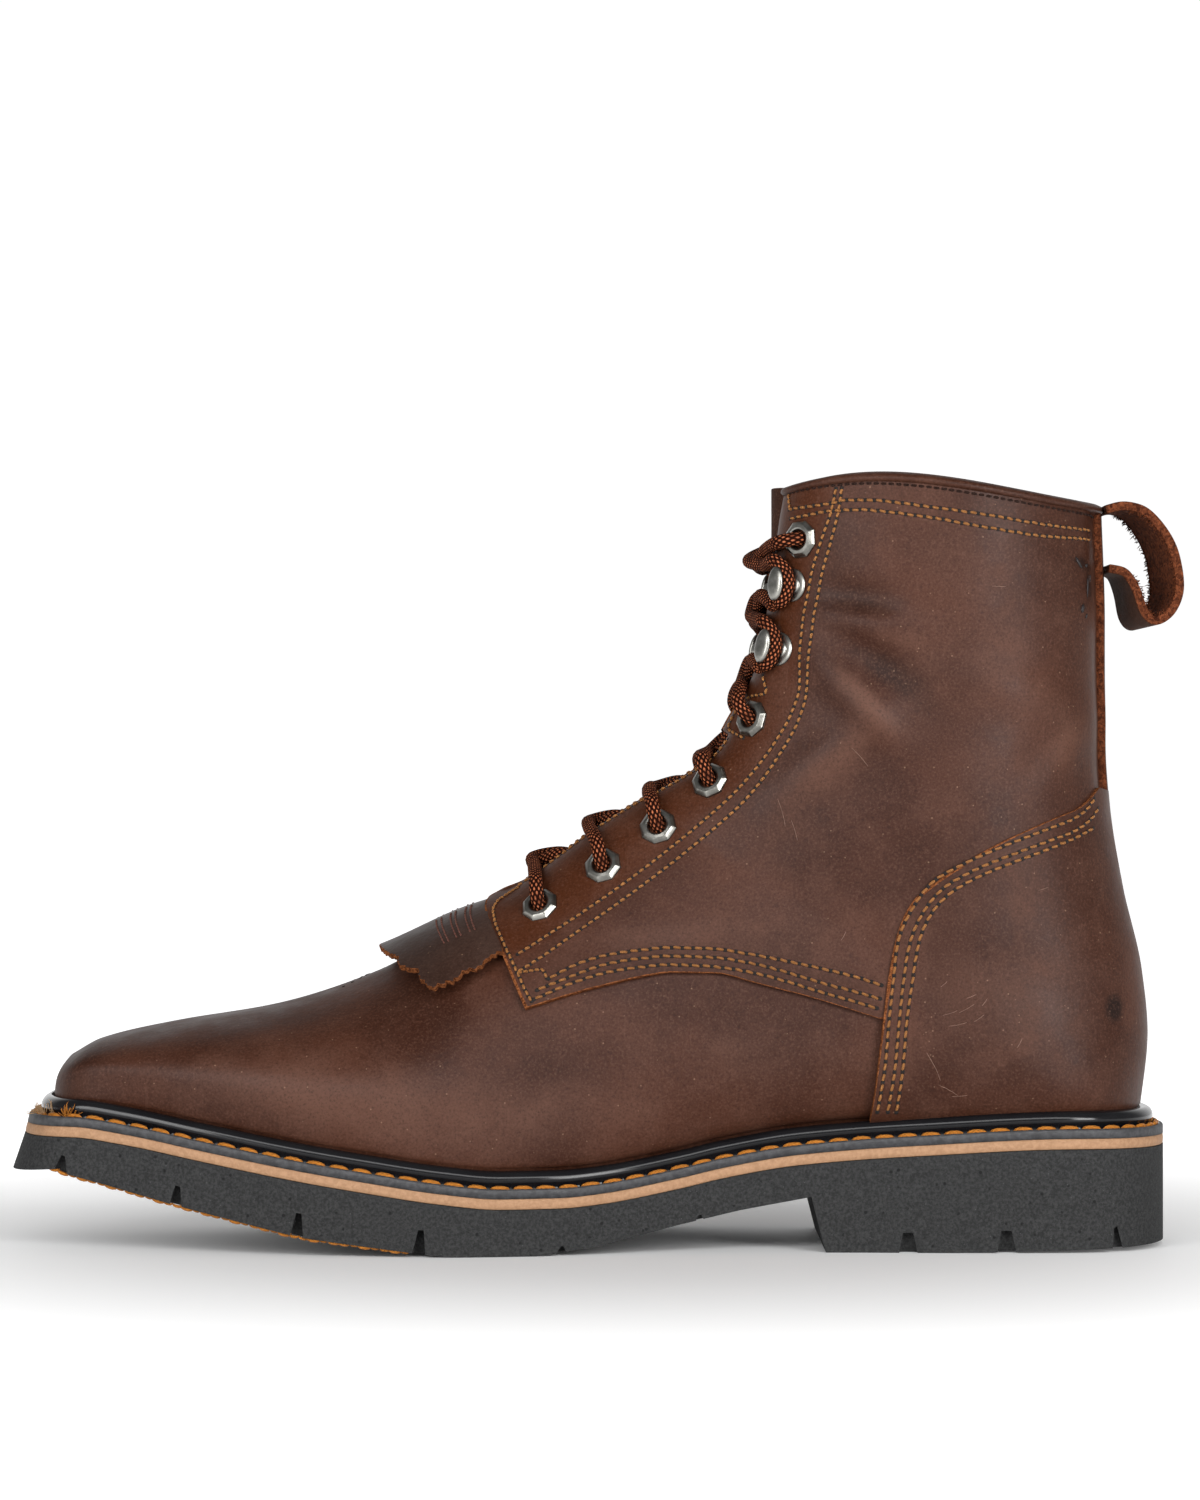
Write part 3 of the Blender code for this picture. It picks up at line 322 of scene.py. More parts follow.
def address(u, z):
    """v and a of the places that the side view shows at (u, z): the nearest section line, and the
    share along it turned back into an angle.  The collar's crown is taken off by turns."""
    u, z = np.atleast_1d(np.asarray(u, float)), np.atleast_1d(np.asarray(z, float))
    lines = np.linspace(0, 2, SECTION_LINES)
    low_u, low_z, top_u, top_z = (np.broadcast_to(end, lines.shape)[:, None] for end in section_ends(lines))
    length = (top_u - low_u) ** 2 + (top_z - low_z) ** 2
    height = z
    for _ in range(CROWN_TURNS):
        turn = (top_u - low_u) * (height - low_z) - (top_z - low_z) * (u - low_u)
        share = ((u - low_u) * (top_u - low_u) + (height - low_z) * (top_z - low_z)) / length
        near = (share > -PAST_END) & (share < 1 + PAST_END)
        off = np.where(near, np.abs(turn) / np.sqrt(length), np.inf)
        k = np.argmin(off, axis=0)
        v, s = lines[k], np.clip(share[k, np.arange(len(u))], 0, 1)
        height = z - crown(v, s)
    widest = form("widest", v)
    low = np.arccos(np.clip(1 - s / widest, 0, 1) ** (form("low_power", v) / 2))
    top = np.arcsin(np.clip((s - widest) / (1 - widest), 0, 1) ** (form("top_power", v) / 2))
    share_a = np.where(s < widest, low * WIDEST_SHARE, WIDEST_SHARE * math.pi / 2 + top * (1 - WIDEST_SHARE))
    return v, share_a / (math.pi / 2)


def back_share(v, side, half):
    """a of the place on the back of the boot that lies half from its middle line."""
    wide = section_widths(v, side)[1]
    return np.arcsin(np.clip(half / wide, 0, 1) ** (form("low_power", v) / 2)) / (math.pi / 2) * WIDEST_SHARE


def bridge(v, y):
    """Point of the instep at lateral place y; between the throat edges it bridges them flat."""
    v, y = np.broadcast_arrays(np.asarray(v, float), np.asarray(y, float))
    low_u, low_z, top_u, top_z = section_ends(v)
    wide = np.where(y < 0, section_widths(v, MEDIAL)[1], section_widths(v, LATERAL)[1])
    reach = np.clip((np.abs(y) - throat_half(v)) / (wide - throat_half(v)), 0, 1)
    power, widest = form("top_power", v), form("widest", v)
    share = widest + (1 - widest) * (1 - reach ** power) ** (1 / power)
    z = low_z + (top_z - low_z) * share + crown(v, share)
    return np.stack((low_u + (top_u - low_u) * share, y, z), axis=-1)


def upward(v):
    """Unit direction from the foot of a section line to its top."""
    low_u, low_z, top_u, top_z = section_ends(np.asarray(v, float))
    return unit(np.stack((top_u - low_u, np.zeros_like(low_u), top_z - low_z), axis=-1))


print("collar front:", np.round(wall(2.0, 1.0, MEDIAL), 1))
print("toe ridge:", np.round(wall(0.0, 1.0, MEDIAL), 1))

# %% [markdown]
# ## Creases
# A boot that has stood on a shelf shows soft folds in the shaft, where the ankle bends, and a slight
# roll in front of the kiltie.  They could be sculpted or left to a bump map, but then the light would
# not break on them.  Each fold here is a long low bell: a ridge where its height is positive, a trough
# where it is negative, laid at an angle in the side view.

# %% Folds of the leather
FOLDS = table(("u", "z", "long", "wide", "turn", "height"), (
    (226.0, 146.0, 15.0, 5.0, -46.0, 2.3),
    (232.0, 155.5, 15.0, 4.6, -38.0, -2.1),
    (231.0, 166.0, 18.0, 4.6, -9.0, 1.7),
    (226.5, 173.0, 11.0, 4.6, -8.0, -1.8),
    (219.0, 132.0, 17.0, 5.5, 36.0, 1.5),
    (252.0, 160.0, 16.0, 7.0, -20.0, -1.4),
    (266.0, 150.0, 20.0, 7.0, -30.0, 1.4),
    (281.0, 134.0, 12.0, 5.0, 55.0, 0.9),
    (274.0, 131.0, 12.0, 5.0, 50.0, -0.8),
    (222.0, 186.0, 22.0, 6.0, -32.0, 0.45),
    (246.0, 120.0, 30.0, 9.0, 18.0, 0.45),
    (205.0, 98.0, 30.0, 9.0, 30.0, 0.4),
    (182.0, 58.0, 32.0, 9.0, 10.0, -0.4),
    (112.0, 52.0, 30.0, 9.0, 40.0, 0.35),
))
LATERAL_SHIFT = (4.0, -7.0)
MIDDLE_FADE = 8.0


def bells(places, points, side):
    """Sum of bells: height times exp(−(x/long)² − (w/wide)²) in the turned side view."""
    shift = LATERAL_SHIFT if side == LATERAL else (0.0, 0.0)
    total = np.zeros(points.shape[:-1])
    for u, z, long, wide, turn, height in zip(*places.values()):
        du, dz = points[..., 0] - u - shift[0], points[..., 2] - z - shift[1]
        cosine, sine = math.cos(math.radians(turn)), math.sin(math.radians(turn))
        x, w = du * cosine + dz * sine, dz * cosine - du * sine
        total += height * np.exp(-(x / long) ** 2 - (w / wide) ** 2)
    return total


def folds(points, side):
    """Height of the folds at points of the wall; they fade at the middle line, where both sides meet."""
    return bells(FOLDS, points, side) * ease(np.abs(points[..., 1]) / MIDDLE_FADE)


def skin(v, a, side, lift=0.0):
    """The wall with its folds, lifted along its normal."""
    points = wall(v, a, side)
    return points + wall_normal(v, a, side) * (lift + folds(points, side))[..., None]


print("deepest fold on the shaft:", round(float(FOLDS["height"].min()), 2), "mm")

# %% [markdown]
# ## Handling marks and painted light
# Waxed leather pales where it is bent or rubbed and darkens where wax and hands have gathered; the small dark
# rows by the back strip and at the heel are such rubs and ink.  The same table paints light and shade: rows
# on the shaft's folds darken their troughs (painted shade) and pale their ridges (painted highlight), and
# broad bells pale the foot of the vamp and the counter and darken the top of the shaft, the ridge of the vamp
# and the toe (painted light and shade).  The marks could be painted, but a table of soft bells keeps them on
# the leather from every side: each row gives a place, a size, a turn, and how pale (above nought) or dark
# (below) the mark is.

# %% Table of marks and painted light
# Rows on the folds: painted shade in the troughs, painted highlight on the ridges; broad rows: painted light
# and shade; small dark rows by the back strip and heel: rubs and ink.
MARKS_AND_PAINTED_LIGHT = table(("u", "z", "long", "wide", "turn", "height"), (
    (227.7, 171.1, 12.0, 5.4, -5.0, -0.6),
    (232.0, 154.7, 15.0, 5.4, -37.0, -0.6),
    (247.0, 145.0, 16.0, 9.0, -32.0, -0.3),
    (227.0, 147.5, 13.0, 3.6, -47.0, 0.75),
    (230.0, 163.5, 16.0, 3.8, -10.0, 0.55),
    (217.0, 128.0, 17.0, 5.5, 37.0, 0.5),
    (238.0, 178.0, 16.0, 5.0, -40.0, 0.25),
    (282.0, 135.5, 9.0, 4.6, 55.0, 0.5),
    (273.0, 132.0, 10.0, 5.0, 50.0, -0.35),
    (266.0, 116.0, 14.0, 4.0, 20.0, -0.4),
    (294.4, 64.2, 2.6, 3.9, 0.0, -1.5),
    (286.3, 182.4, 2.6, 1.0, -25.0, -1.3),
    (288.2, 176.2, 0.9, 3.6, 8.0, -1.2),
    (286.6, 170.6, 1.6, 1.8, 0.0, -0.8),
    (265.0, 81.0, 10.0, 6.0, 0.0, -0.3),
    (253.0, 71.0, 12.0, 12.0, 0.0, 0.2),
    (284.0, 50.0, 10.0, 5.0, 0.0, -0.3),
    (75.0, 43.0, 34.0, 10.0, -10.0, 0.5),
    (128.0, 38.0, 36.0, 11.0, -4.0, 0.45),
    (268.0, 72.0, 26.0, 30.0, 0.0, 0.3),
    (262.0, 140.0, 24.0, 24.0, 0.0, 0.2),
    (250.0, 186.0, 34.0, 12.0, 0.0, -0.3),
    (200.0, 55.0, 26.0, 6.0, 0.0, 0.25),
    (118.0, 62.0, 18.0, 7.0, -30.0, -0.3),
    (60.0, 58.5, 40.0, 4.0, 10.0, -0.45),
    (22.0, 50.0, 9.0, 5.0, 35.0, -0.3),
    (172.0, 84.0, 26.0, 4.5, 5.0, 0.4),
    (215.0, 92.0, 24.0, 10.0, 20.0, 0.2),
    (236.0, 100.0, 16.0, 6.0, 40.0, -0.3),
))


def wear_and_painted_light(points, side):
    """How far the leather is made pale (above nought) or dark (below): rubs and ink, painted shade and
    highlight on the folds, and painted light and shade over broad areas.
    """
    return bells(MARKS_AND_PAINTED_LIGHT, np.asarray(points), side)


def wear_and_painted_light_both(points):
    """The same for a piece on both sides: y says which side a point is on."""
    return np.where(points[:, 1] < 0, wear_and_painted_light(points, MEDIAL), wear_and_painted_light(points, LATERAL))


print("handling marks on each side:", len(MARKS_AND_PAINTED_LIGHT["u"]))

# %% [markdown]
# ## From grids to pieces
# Every piece below is a grid of points or a profile carried along a path.  These helpers number the
# faces, put the mesh in the scene, give it a thickness where it is a sheet of leather, and hang it on
# the boot's one body.

# %% Piece makers
MERGE_DISTANCE = 0.00002


def quads(rows, columns, flip=False, round_rows=False, round_columns=False):
    """Corner numbers of the faces of a grid stored row by row."""
    i = np.arange(rows if round_rows else rows - 1)[:, None]
    j = np.arange(columns if round_columns else columns - 1)[None, :]
    i2, j2 = (i + 1) % rows, (j + 1) % columns
    corners = (i * columns + j, i * columns + j2, i2 * columns + j2, i2 * columns + j)
    faces = np.stack(corners, axis=-1).reshape(-1, 4)
    return faces[:, ::-1] if flip else faces


def piece(name, points, faces, finishes, replaces=(), slot=None, merge=False, outward=False, uv=None,
          sharp=None, tones=None):
    """Mesh object in the frame from millimetre points, with its finishes, riding on the boot.  merge
    joins doubled points, outward turns the faces out, sharp is the angle in degrees at which shading
    breaks, and tones are numbers on the points that a finish reads."""
    mesh = bpy.data.meshes.new(name)
    corners = faces if isinstance(faces, list) else np.asarray(faces).tolist()
    mesh.from_pydata(placed(np.asarray(points).reshape(-1, 3)).tolist(), [], corners)
    for tone, values in (tones or {}).items():
        layer = mesh.attributes.new(tone, "FLOAT", "POINT")
        layer.data.foreach_set("value", np.asarray(values, np.float32).ravel())
    if uv is not None:
        layer = mesh.uv_layers.new(name="UVMap")
        corner = np.zeros(len(mesh.loops), np.int32)
        mesh.loops.foreach_get("vertex_index", corner)
        layer.data.foreach_set("uv", np.asarray(uv, np.float32).reshape(-1, 2)[corner].ravel())
    if merge or outward:
        work = bmesh.new()
        work.from_mesh(mesh)
        if merge:
            bmesh.ops.remove_doubles(work, verts=work.verts, dist=MERGE_DISTANCE)
        if outward:
            bmesh.ops.recalc_face_normals(work, faces=work.faces)
        work.to_mesh(mesh)
        work.free()
    mesh.shade_smooth()
    if sharp is not None:
        mesh.set_sharp_from_angle(angle=math.radians(sharp))
    for finish in finishes:
        mesh.materials.append(FINISH[finish])
    item = bpy.data.objects.new(name, mesh)
    bpy.context.scene.collection.objects.link(item)
    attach(item, "root")
    if replaces:
        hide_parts(*replaces)
    return item


def soften(item, width, angle):
    """Round every edge that turns by more than an angle, as a mould or a knife leaves it."""
    edge = item.modifiers.new("edge", "BEVEL")
    edge.width = width * MM
    edge.segments = 2
    edge.limit_method = "ANGLE"
    edge.angle_limit = math.radians(angle)
    return item


def thicken(item, thickness, inner=0, rim=0, bevel=0.0):
    """Leather sheet: the grid is its outer face, the thickness goes inwards, the edge is rounded."""
    sheet = item.modifiers.new("thickness", "SOLIDIFY")
    sheet.thickness = thickness * MM
    sheet.offset = -1.0
    sheet.use_even_offset = False
    sheet.material_offset = inner
    sheet.material_offset_rim = rim
    return soften(item, bevel, 55) if bevel else item


def joined(parts):
    """Several (points, faces) grids as one."""
    points, faces, start = [], [], 0
    for grid, face in parts:
        flat = np.asarray(grid).reshape(-1, 3)
        points.append(flat)
        faces.append(np.asarray(face) + start)
        start += len(flat)
    return np.concatenate(points), np.concatenate(faces)


print("piece makers ready")

# %% [markdown]
# ## Finishes
# The leather is oiled and waxed: brown where it is at rest, lighter and greyer where the wax has cracked,
# darker where it has been handled, with a fine grain and scattered pale specks.  A tone on the points adds
# painted shade in the troughs of the folds, painted highlight on their ridges, and painted light and shade
# over broad areas.  The rest comes from noise at several sizes on Object coordinates, so nothing slides when
# the boot is turned.

# %% Node helpers
FINISH = {}


def graded(nodes, links, value, low, high, start, end):
    """Smooth step of a value from one level to another."""
    node = nodes.new("ShaderNodeMapRange")
    node.interpolation_type = "SMOOTHSTEP"
    for name, number in (("From Min", low), ("From Max", high), ("To Min", start), ("To Max", end)):
        node.inputs[name].default_value = number
    links.new(value, node.inputs["Value"])
    return node.outputs["Result"]


class Recipe:
    """One finish being mixed: its nodes, its links and its shader.  Patterns lie on Object coordinates
    unless they are given another place."""

    def __init__(self, name):
        self.material = bpy.data.materials.new(name)
        self.material.use_nodes = True
        self.nodes = self.material.node_tree.nodes
        self.links = self.material.node_tree.links
        self.shader = self.nodes["Principled BSDF"]
        self.place = self.nodes.new("ShaderNodeTexCoord").outputs["Object"]
        FINISH[name] = self.material

    def uv(self):
        """The piece's own UV map, for thread and lace."""
        return self.nodes.new("ShaderNodeTexCoord").outputs["UV"]

    def set(self, **values):
        """Numbers that are the same all over go straight on the shader."""
        for name, value in values.items():
            self.shader.inputs[name.replace("_", " ")].default_value = value

    def noise(self, scale, detail=4.0, roughness=0.55, place=None, distortion=0.0):
        """Cloudy noise; scale counts its cells in a metre."""
        node = self.nodes.new("ShaderNodeTexNoise")
        node.inputs["Scale"].default_value = scale
        node.inputs["Detail"].default_value = detail
        node.inputs["Roughness"].default_value = roughness
        node.inputs["Distortion"].default_value = distortion
        self.links.new(place or self.place, node.inputs["Vector"])
        return node.outputs["Fac"]

    def cells(self, scale, place=None):
        """Distance to the nearest of scattered points."""
        node = self.nodes.new("ShaderNodeTexVoronoi")
        node.inputs["Scale"].default_value = scale
        self.links.new(place or self.place, node.inputs["Vector"])
        return node.outputs["Distance"]

    def wave(self, scale, place, distortion=0.0):
        """Bands that run across the diagonal."""
        node = self.nodes.new("ShaderNodeTexWave")
        node.bands_direction = "DIAGONAL"
        node.inputs["Scale"].default_value = scale
        node.inputs["Distortion"].default_value = distortion
        self.links.new(place, node.inputs["Vector"])
        return node.outputs["Fac"]

    def stretched(self, scale, turn=(0.0, 0.0, 0.0), place=None):
        """Coordinates stretched and turned before a pattern reads them."""
        node = self.nodes.new("ShaderNodeMapping")
        node.inputs["Scale"].default_value = scale
        node.inputs["Rotation"].default_value = turn
        self.links.new(place or self.place, node.inputs["Vector"])
        return node.outputs["Vector"]

    def curve(self, value, low, high, start=0.0, end=1.0):
        """Smooth step of a value between two levels."""
        return graded(self.nodes, self.links, value, low, high, start, end)

    def math(self, operation, first, second):
        """One sum of two values or numbers."""
        node = self.nodes.new("ShaderNodeMath")
        node.operation = operation
        for socket, value in zip(node.inputs, (first, second)):
            if isinstance(value, (int, float)):
                socket.default_value = value
            else:
                self.links.new(value, socket)
        return node.outputs["Value"]

    def times(self, first, second):
        """Product of two values or numbers."""
        return self.math("MULTIPLY", first, second)

    def blend(self, amount, first, second):
        """Two colours mixed by an amount."""
        node = self.nodes.new("ShaderNodeMix")
        node.data_type = "RGBA"
        for name, value in (("A", first), ("B", second)):
            socket = [s for s in node.inputs if s.name == name and s.type == "RGBA"][0]
            if isinstance(value, tuple):
                socket.default_value = (*value, 1.0)
            else:
                self.links.new(value, socket)
        self.links.new(amount, node.inputs["Factor"])
        return [s for s in node.outputs if s.type == "RGBA"][0]

    def tone(self, name):
        """Numbers that a piece keeps on its points; nought where it has none."""
        node = self.nodes.new("ShaderNodeAttribute")
        node.attribute_name = name
        return node.outputs["Fac"]

    def colour(self, value):
        """The finish's colour."""
        self.links.new(value, self.shader.inputs["Base Color"])

    def roughness(self, value):
        """The finish's dullness, where it changes over the surface."""
        self.links.new(value, self.shader.inputs["Roughness"])

    def bump(self, height, distance, strength=1.0):
        """Relief of a pattern, its distance in mm, on top of the relief that is already there."""
        node = self.nodes.new("ShaderNodeBump")
        node.inputs["Strength"].default_value = strength
        node.inputs["Distance"].default_value = distance * MM
        self.links.new(height, node.inputs["Height"])
        old = self.shader.inputs["Normal"].links
        if old:
            self.links.new(old[0].from_socket, node.inputs["Normal"])
        self.links.new(node.outputs["Normal"], self.shader.inputs["Normal"])


print("node helpers ready")

# %% [markdown]
# ## Leather and nap
# One recipe makes every leather.  Clouds move it between a deep and a middle tone, patches, wear and painted
# light and shade pull it pale or dark, and fine fibre, flecks and scratches break it up.  A picture of
# leather would stretch over the folds; noise in space does not.  Cut edges and the flesh side get a duller
# nap.

# %% Leather
PALE_FLECK = (0.36, 0.22, 0.14)


def leather(name, deep, mid, pale, dark, gloss=0.48, specks=0.3, specular=0.15, second=None):
    """Oiled leather: three tones by cloudy noise, handling marks with painted shade and highlight, fine
    specks, grain and pores.  second is the tone of the eyestay, where the piece says that it faces."""
    mix = Recipe(name)
    clouds = mix.noise(24, 3.0, 0.5, distortion=0.4)
    patches = mix.noise(85, 5.0, 0.6)
    tone = mix.blend(mix.curve(clouds, 0.36, 0.64), deep, mid)
    if second:
        tone = mix.blend(mix.tone("facing"), tone, second)
    tone = mix.blend(mix.times(mix.curve(patches, 0.42, 0.78), 0.28), tone, pale)
    # The points' wear tone holds rubs and ink, and also painted shade in the folds' troughs, painted
    # highlight on their ridges and painted light and shade over broad areas; above nought it pales the
    # leather, below it darkens it.
    wear_and_light_level = mix.math("ADD", mix.tone("wear_and_painted_light"), mix.times(mix.math("SUBTRACT", patches, 0.5), 0.32))
    tone = mix.blend(mix.curve(wear_and_light_level, 0.0, 1.0), tone, pale)
    tone = mix.blend(mix.curve(wear_and_light_level, 0.0, -1.1), tone, dark)
    fibre = mix.noise(1500, 3.0, 0.7)
    tone = mix.blend(mix.times(mix.curve(fibre, 0.48, 0.72), 0.45), tone, pale)
    tone = mix.blend(mix.times(mix.curve(fibre, 0.5, 0.28), 0.5), tone, dark)
    fleck = mix.curve(mix.cells(420), 0.12, 0.05)
    sparse = mix.curve(mix.noise(210, 2.0), 0.5, 0.58)
    tone = mix.blend(mix.times(mix.times(fleck, sparse), specks), tone, PALE_FLECK)
    scratch = mix.noise(55, 2.0, 0.5, mix.stretched((14.0, 1.0, 1.0), (0.2, 0.6, 0.3)))
    tone = mix.blend(mix.times(mix.curve(scratch, 0.69, 0.75), 0.2), tone, pale)
    mix.colour(tone)
    mix.roughness(mix.curve(patches, 0.3, 0.75, gloss - 0.06, gloss + 0.1))
    mix.set(Specular_IOR_Level=specular)
    mix.bump(mix.cells(620), 0.08, 0.5)
    mix.bump(mix.noise(1500, 3.0, 0.6), 0.05, 0.6)
    mix.bump(mix.noise(160, 3.0, 0.5), 0.16, 0.35)


def nap(name, deep, pale, size=1100):
    """Raw flesh side or cut edge: short fibres in two tones, quite dull."""
    mix = Recipe(name)
    hairs = mix.noise(size, 4.0, 0.7, distortion=1.2)
    mix.colour(mix.blend(mix.curve(hairs, 0.35, 0.68), deep, pale))
    mix.set(Roughness=0.95, Specular_IOR_Level=0.05)
    mix.bump(hairs, 0.5, 0.9)


leather("waxed_brown", (0.0315, 0.0098, 0.0047), (0.0515, 0.0181, 0.0097), (0.096, 0.0438, 0.0288),
        (0.0095, 0.0030, 0.0015), second=(0.048, 0.0122, 0.0030))
leather("kiltie_brown", (0.022, 0.0090, 0.0054), (0.031, 0.0140, 0.0092), (0.060, 0.034, 0.025),
        (0.010, 0.0045, 0.003), gloss=0.46, specks=0.35, specular=0.2)
leather("loop_brown", (0.048, 0.019, 0.010), (0.072, 0.031, 0.018), (0.12, 0.062, 0.042),
        (0.018, 0.006, 0.003), gloss=0.72, specks=0.2, specular=0.05)
leather("lining_tan", (0.16, 0.09, 0.05), (0.21, 0.12, 0.07), (0.28, 0.17, 0.10), (0.10, 0.05, 0.03),
        gloss=0.6, specks=0.1)
nap("raw_edge", (0.050, 0.015, 0.006), (0.26, 0.088, 0.030))
nap("suede", (0.032, 0.009, 0.0045), (0.150, 0.044, 0.018), 800)
print("leathers mixed:", sorted(FINISH))

# %% [markdown]
# ## Rubber, metal, thread and lace
# The sole's rubber is a dark mix with darker and paler crumbs.  Thread and lace are too fine to model
# ply by ply, so slanted bands on their own UV map give the twist, and two sets of bands that cross give
# the braid.  The other finishes are two tones of one noise.

# %% Rubber, welt, thread, metal and lace
def rubber():
    """Matt rubber: fine grain in two greys, with dark and pale crumbs scattered in it."""
    mix = Recipe("speckled_rubber")
    grain = mix.noise(1300, 4.0, 0.75)
    tone = mix.blend(mix.curve(grain, 0.35, 0.7), (0.016, 0.0162, 0.0165), (0.038, 0.0383, 0.0385))
    dark = mix.times(mix.curve(mix.cells(330), 0.2, 0.1), mix.curve(mix.noise(260, 2.0), 0.47, 0.55))
    tone = mix.blend(mix.times(dark, 0.85), tone, (0.007, 0.007, 0.0075))
    light = mix.curve(mix.cells(470, mix.stretched((1.0, 1.0, 1.0), (0.4, 0.2, 0.7))), 0.07, 0.02)
    tone = mix.blend(mix.times(light, 0.55), tone, (0.16, 0.16, 0.165))
    mix.colour(tone)
    mix.set(Roughness=0.85, Specular_IOR_Level=0.15)
    mix.bump(grain, 0.12, 0.5)
    mix.bump(mix.noise(2200, 2.0), 0.05, 0.5)


def plain(name, deep, pale, scale, rough, bump=0.05, **values):
    """Two tones of one noise, with a little relief from the same noise."""
    mix = Recipe(name)
    cloud = mix.noise(scale, 4.0, 0.65)
    mix.colour(mix.blend(mix.curve(cloud, 0.32, 0.7), deep, pale))
    mix.set(Roughness=rough, **values)
    mix.bump(cloud, bump, 0.6)


def twisted(name, deep, pale, turns, rough):
    """Thread: a wave round the strand at a slant gives the twist of its plies; its colour follows the wave,
    deep in the grooves between the plies as painted shade and pale on their crowns.
    """
    mix = Recipe(name)
    ply = mix.wave(turns, mix.uv(), 0.6)
    mix.colour(mix.blend(mix.curve(ply, 0.2, 0.8), deep, pale))
    mix.set(Roughness=rough, Specular_IOR_Level=0.18)
    mix.bump(ply, 0.12, 0.7)


def braid():
    """Round braid: two sets of slanted strands cross; the tone is dark between the strands as painted shade
    and browner where they cross over, and copper shows on some of the crossings.
    """
    mix = Recipe("lace_braid")
    uv = mix.uv()
    one, other = (mix.wave(0.1, mix.stretched((3.7, slant * 9.0, 1.0), place=uv)) for slant in (1.0, -1.0))
    over = mix.times(one, other)
    fleck = mix.noise(0.45, 1.0, 0.5, mix.stretched((1.0, 2.2, 1.0), place=uv))
    lit = mix.times(mix.curve(over, 0.3, 0.75), mix.curve(fleck, 0.32, 0.52, 0.2, 1.0))
    # Dark where the strands dip under, browner where they cross over: painted shade in the braid's grooves.
    tone = mix.blend(mix.curve(over, 0.03, 0.4), (0.010, 0.0030, 0.0018), (0.066, 0.0185, 0.0092))
    mix.colour(mix.blend(lit, tone, (0.38, 0.118, 0.052)))
    mix.set(Roughness=0.85, Specular_IOR_Level=0.02)
    mix.bump(over, 0.3, 0.8)


rubber()
plain("tan_layer", (0.275, 0.148, 0.074), (0.36, 0.203, 0.110), 900, 0.75, 0.05)
plain("welt_edge", (0.020, 0.020, 0.022), (0.050, 0.050, 0.054), 700, 0.62, 0.10)
plain("welt_bead", (0.004, 0.004, 0.005), (0.007, 0.007, 0.008), 60, 0.16, 0.01, Specular_IOR_Level=0.3)
plain("insole_board", (0.22, 0.13, 0.075), (0.30, 0.19, 0.115), 300, 0.85, 0.05)
# Needle holes and punched holes are near black: painted shade of the holes.
plain("needle_hole", (0.006, 0.003, 0.002), (0.012, 0.006, 0.004), 900, 0.9)
plain("nickel", (0.17, 0.166, 0.15), (0.33, 0.322, 0.295), 240, 0.3, 0.03, Metallic=1.0)
twisted("gold_thread", (0.11, 0.036, 0.008), (0.52, 0.232, 0.072), 2.2, 0.55)
twisted("welt_thread", (0.12, 0.034, 0.004), (0.66, 0.245, 0.030), 1.3, 0.5)
twisted("brown_thread", (0.070, 0.026, 0.018), (0.19, 0.080, 0.060), 2.2, 0.6)
twisted("dark_thread", (0.010, 0.004, 0.0025), (0.034, 0.013, 0.008), 2.2, 0.6)
twisted("tan_fluff", (0.25, 0.14, 0.06), (0.55, 0.36, 0.20), 1.0, 0.8)
plain("dark_scuff", (0.008, 0.005, 0.0055), (0.016, 0.010, 0.010), 900, 0.7)
plain("pale_scratch", (0.10, 0.050, 0.032), (0.20, 0.115, 0.080), 900, 0.7)
braid()
print("finishes mixed:", len(FINISH))

# %% [markdown]
# ## The sole
# Outsole, tan layer and welt share one outline.  The outsole is a slab whose underside follows the
# tread line, with its cuts across and the heel block; a small bevel softens every edge as a mould
# does.  The tan layer is a thin band, and the welt a profile carried once round the boot: a flat
# strip with the thread, then the round glossy bead against the upper.

# %% Outsole
TREAD = table(("u", "z"), (
    (0, 20.8), (15, 22.2), (18, 21.0), (44, 13.7), (79, 5.2), (111, 0.9), (119, 0.0), (141, 0.0),
    (158, 2.4), (178, 7.4), (195, 11.3), (213.6, 14.7), (217.4, 0.0), (252, 0.0), (310, 1.5)))
GROOVES = table(("u", "wide", "deep", "left", "right"), (
    (15.2, 3.2, 4.6, 1.9, 0.5), (44.6, 3.2, 5.2, 1.5, 0.4), (76.6, 3.4, 6.3, 1.6, 0.4),
    (108.6, 3.4, 6.3, 1.6, 0.4), (146.4, 2.4, 1.6, 0.9, 0.7), (183.0, 2.0, 1.3, 0.7, 0.6),
    (236.7, 4.9, 5.3, 1.0, 1.2), (262.6, 4.9, 5.6, 1.0, 1.2), (293.2, 2.8, 5.9, 0.4, 1.6)))
SOLE_GAP = 0.3
CUT_SHARES = (1.0, 0.93, 0.91, 0.4, 0.0)
BETWEEN_CUTS = np.arange(8, 212, 7.3)
SAME_PLACE = 0.1


def tread_line():
    """Underside with its cuts: each cut has a slanted left and right wall and a flat roof."""
    u = TREAD["u"]
    for start, wide, left, right in zip(*(GROOVES[name] for name in ("u", "wide", "left", "right"))):
        u = u[(u < start) | (u > start + wide)]
        u = np.concatenate((u, (start, start + left, start + wide - right, start + wide)))
    u = np.sort(np.concatenate((u, BETWEEN_CUTS)))
    z = np.interp(u, TREAD["u"], TREAD["z"])
    for start, wide, deep, left, right in zip(*GROOVES.values()):
        into = np.clip(np.minimum((u - start) / left, (start + wide - u) / right), 0, 1)
        z = z + deep * np.where((u > start) & (u < start + wide), into, 0)
    return u, z


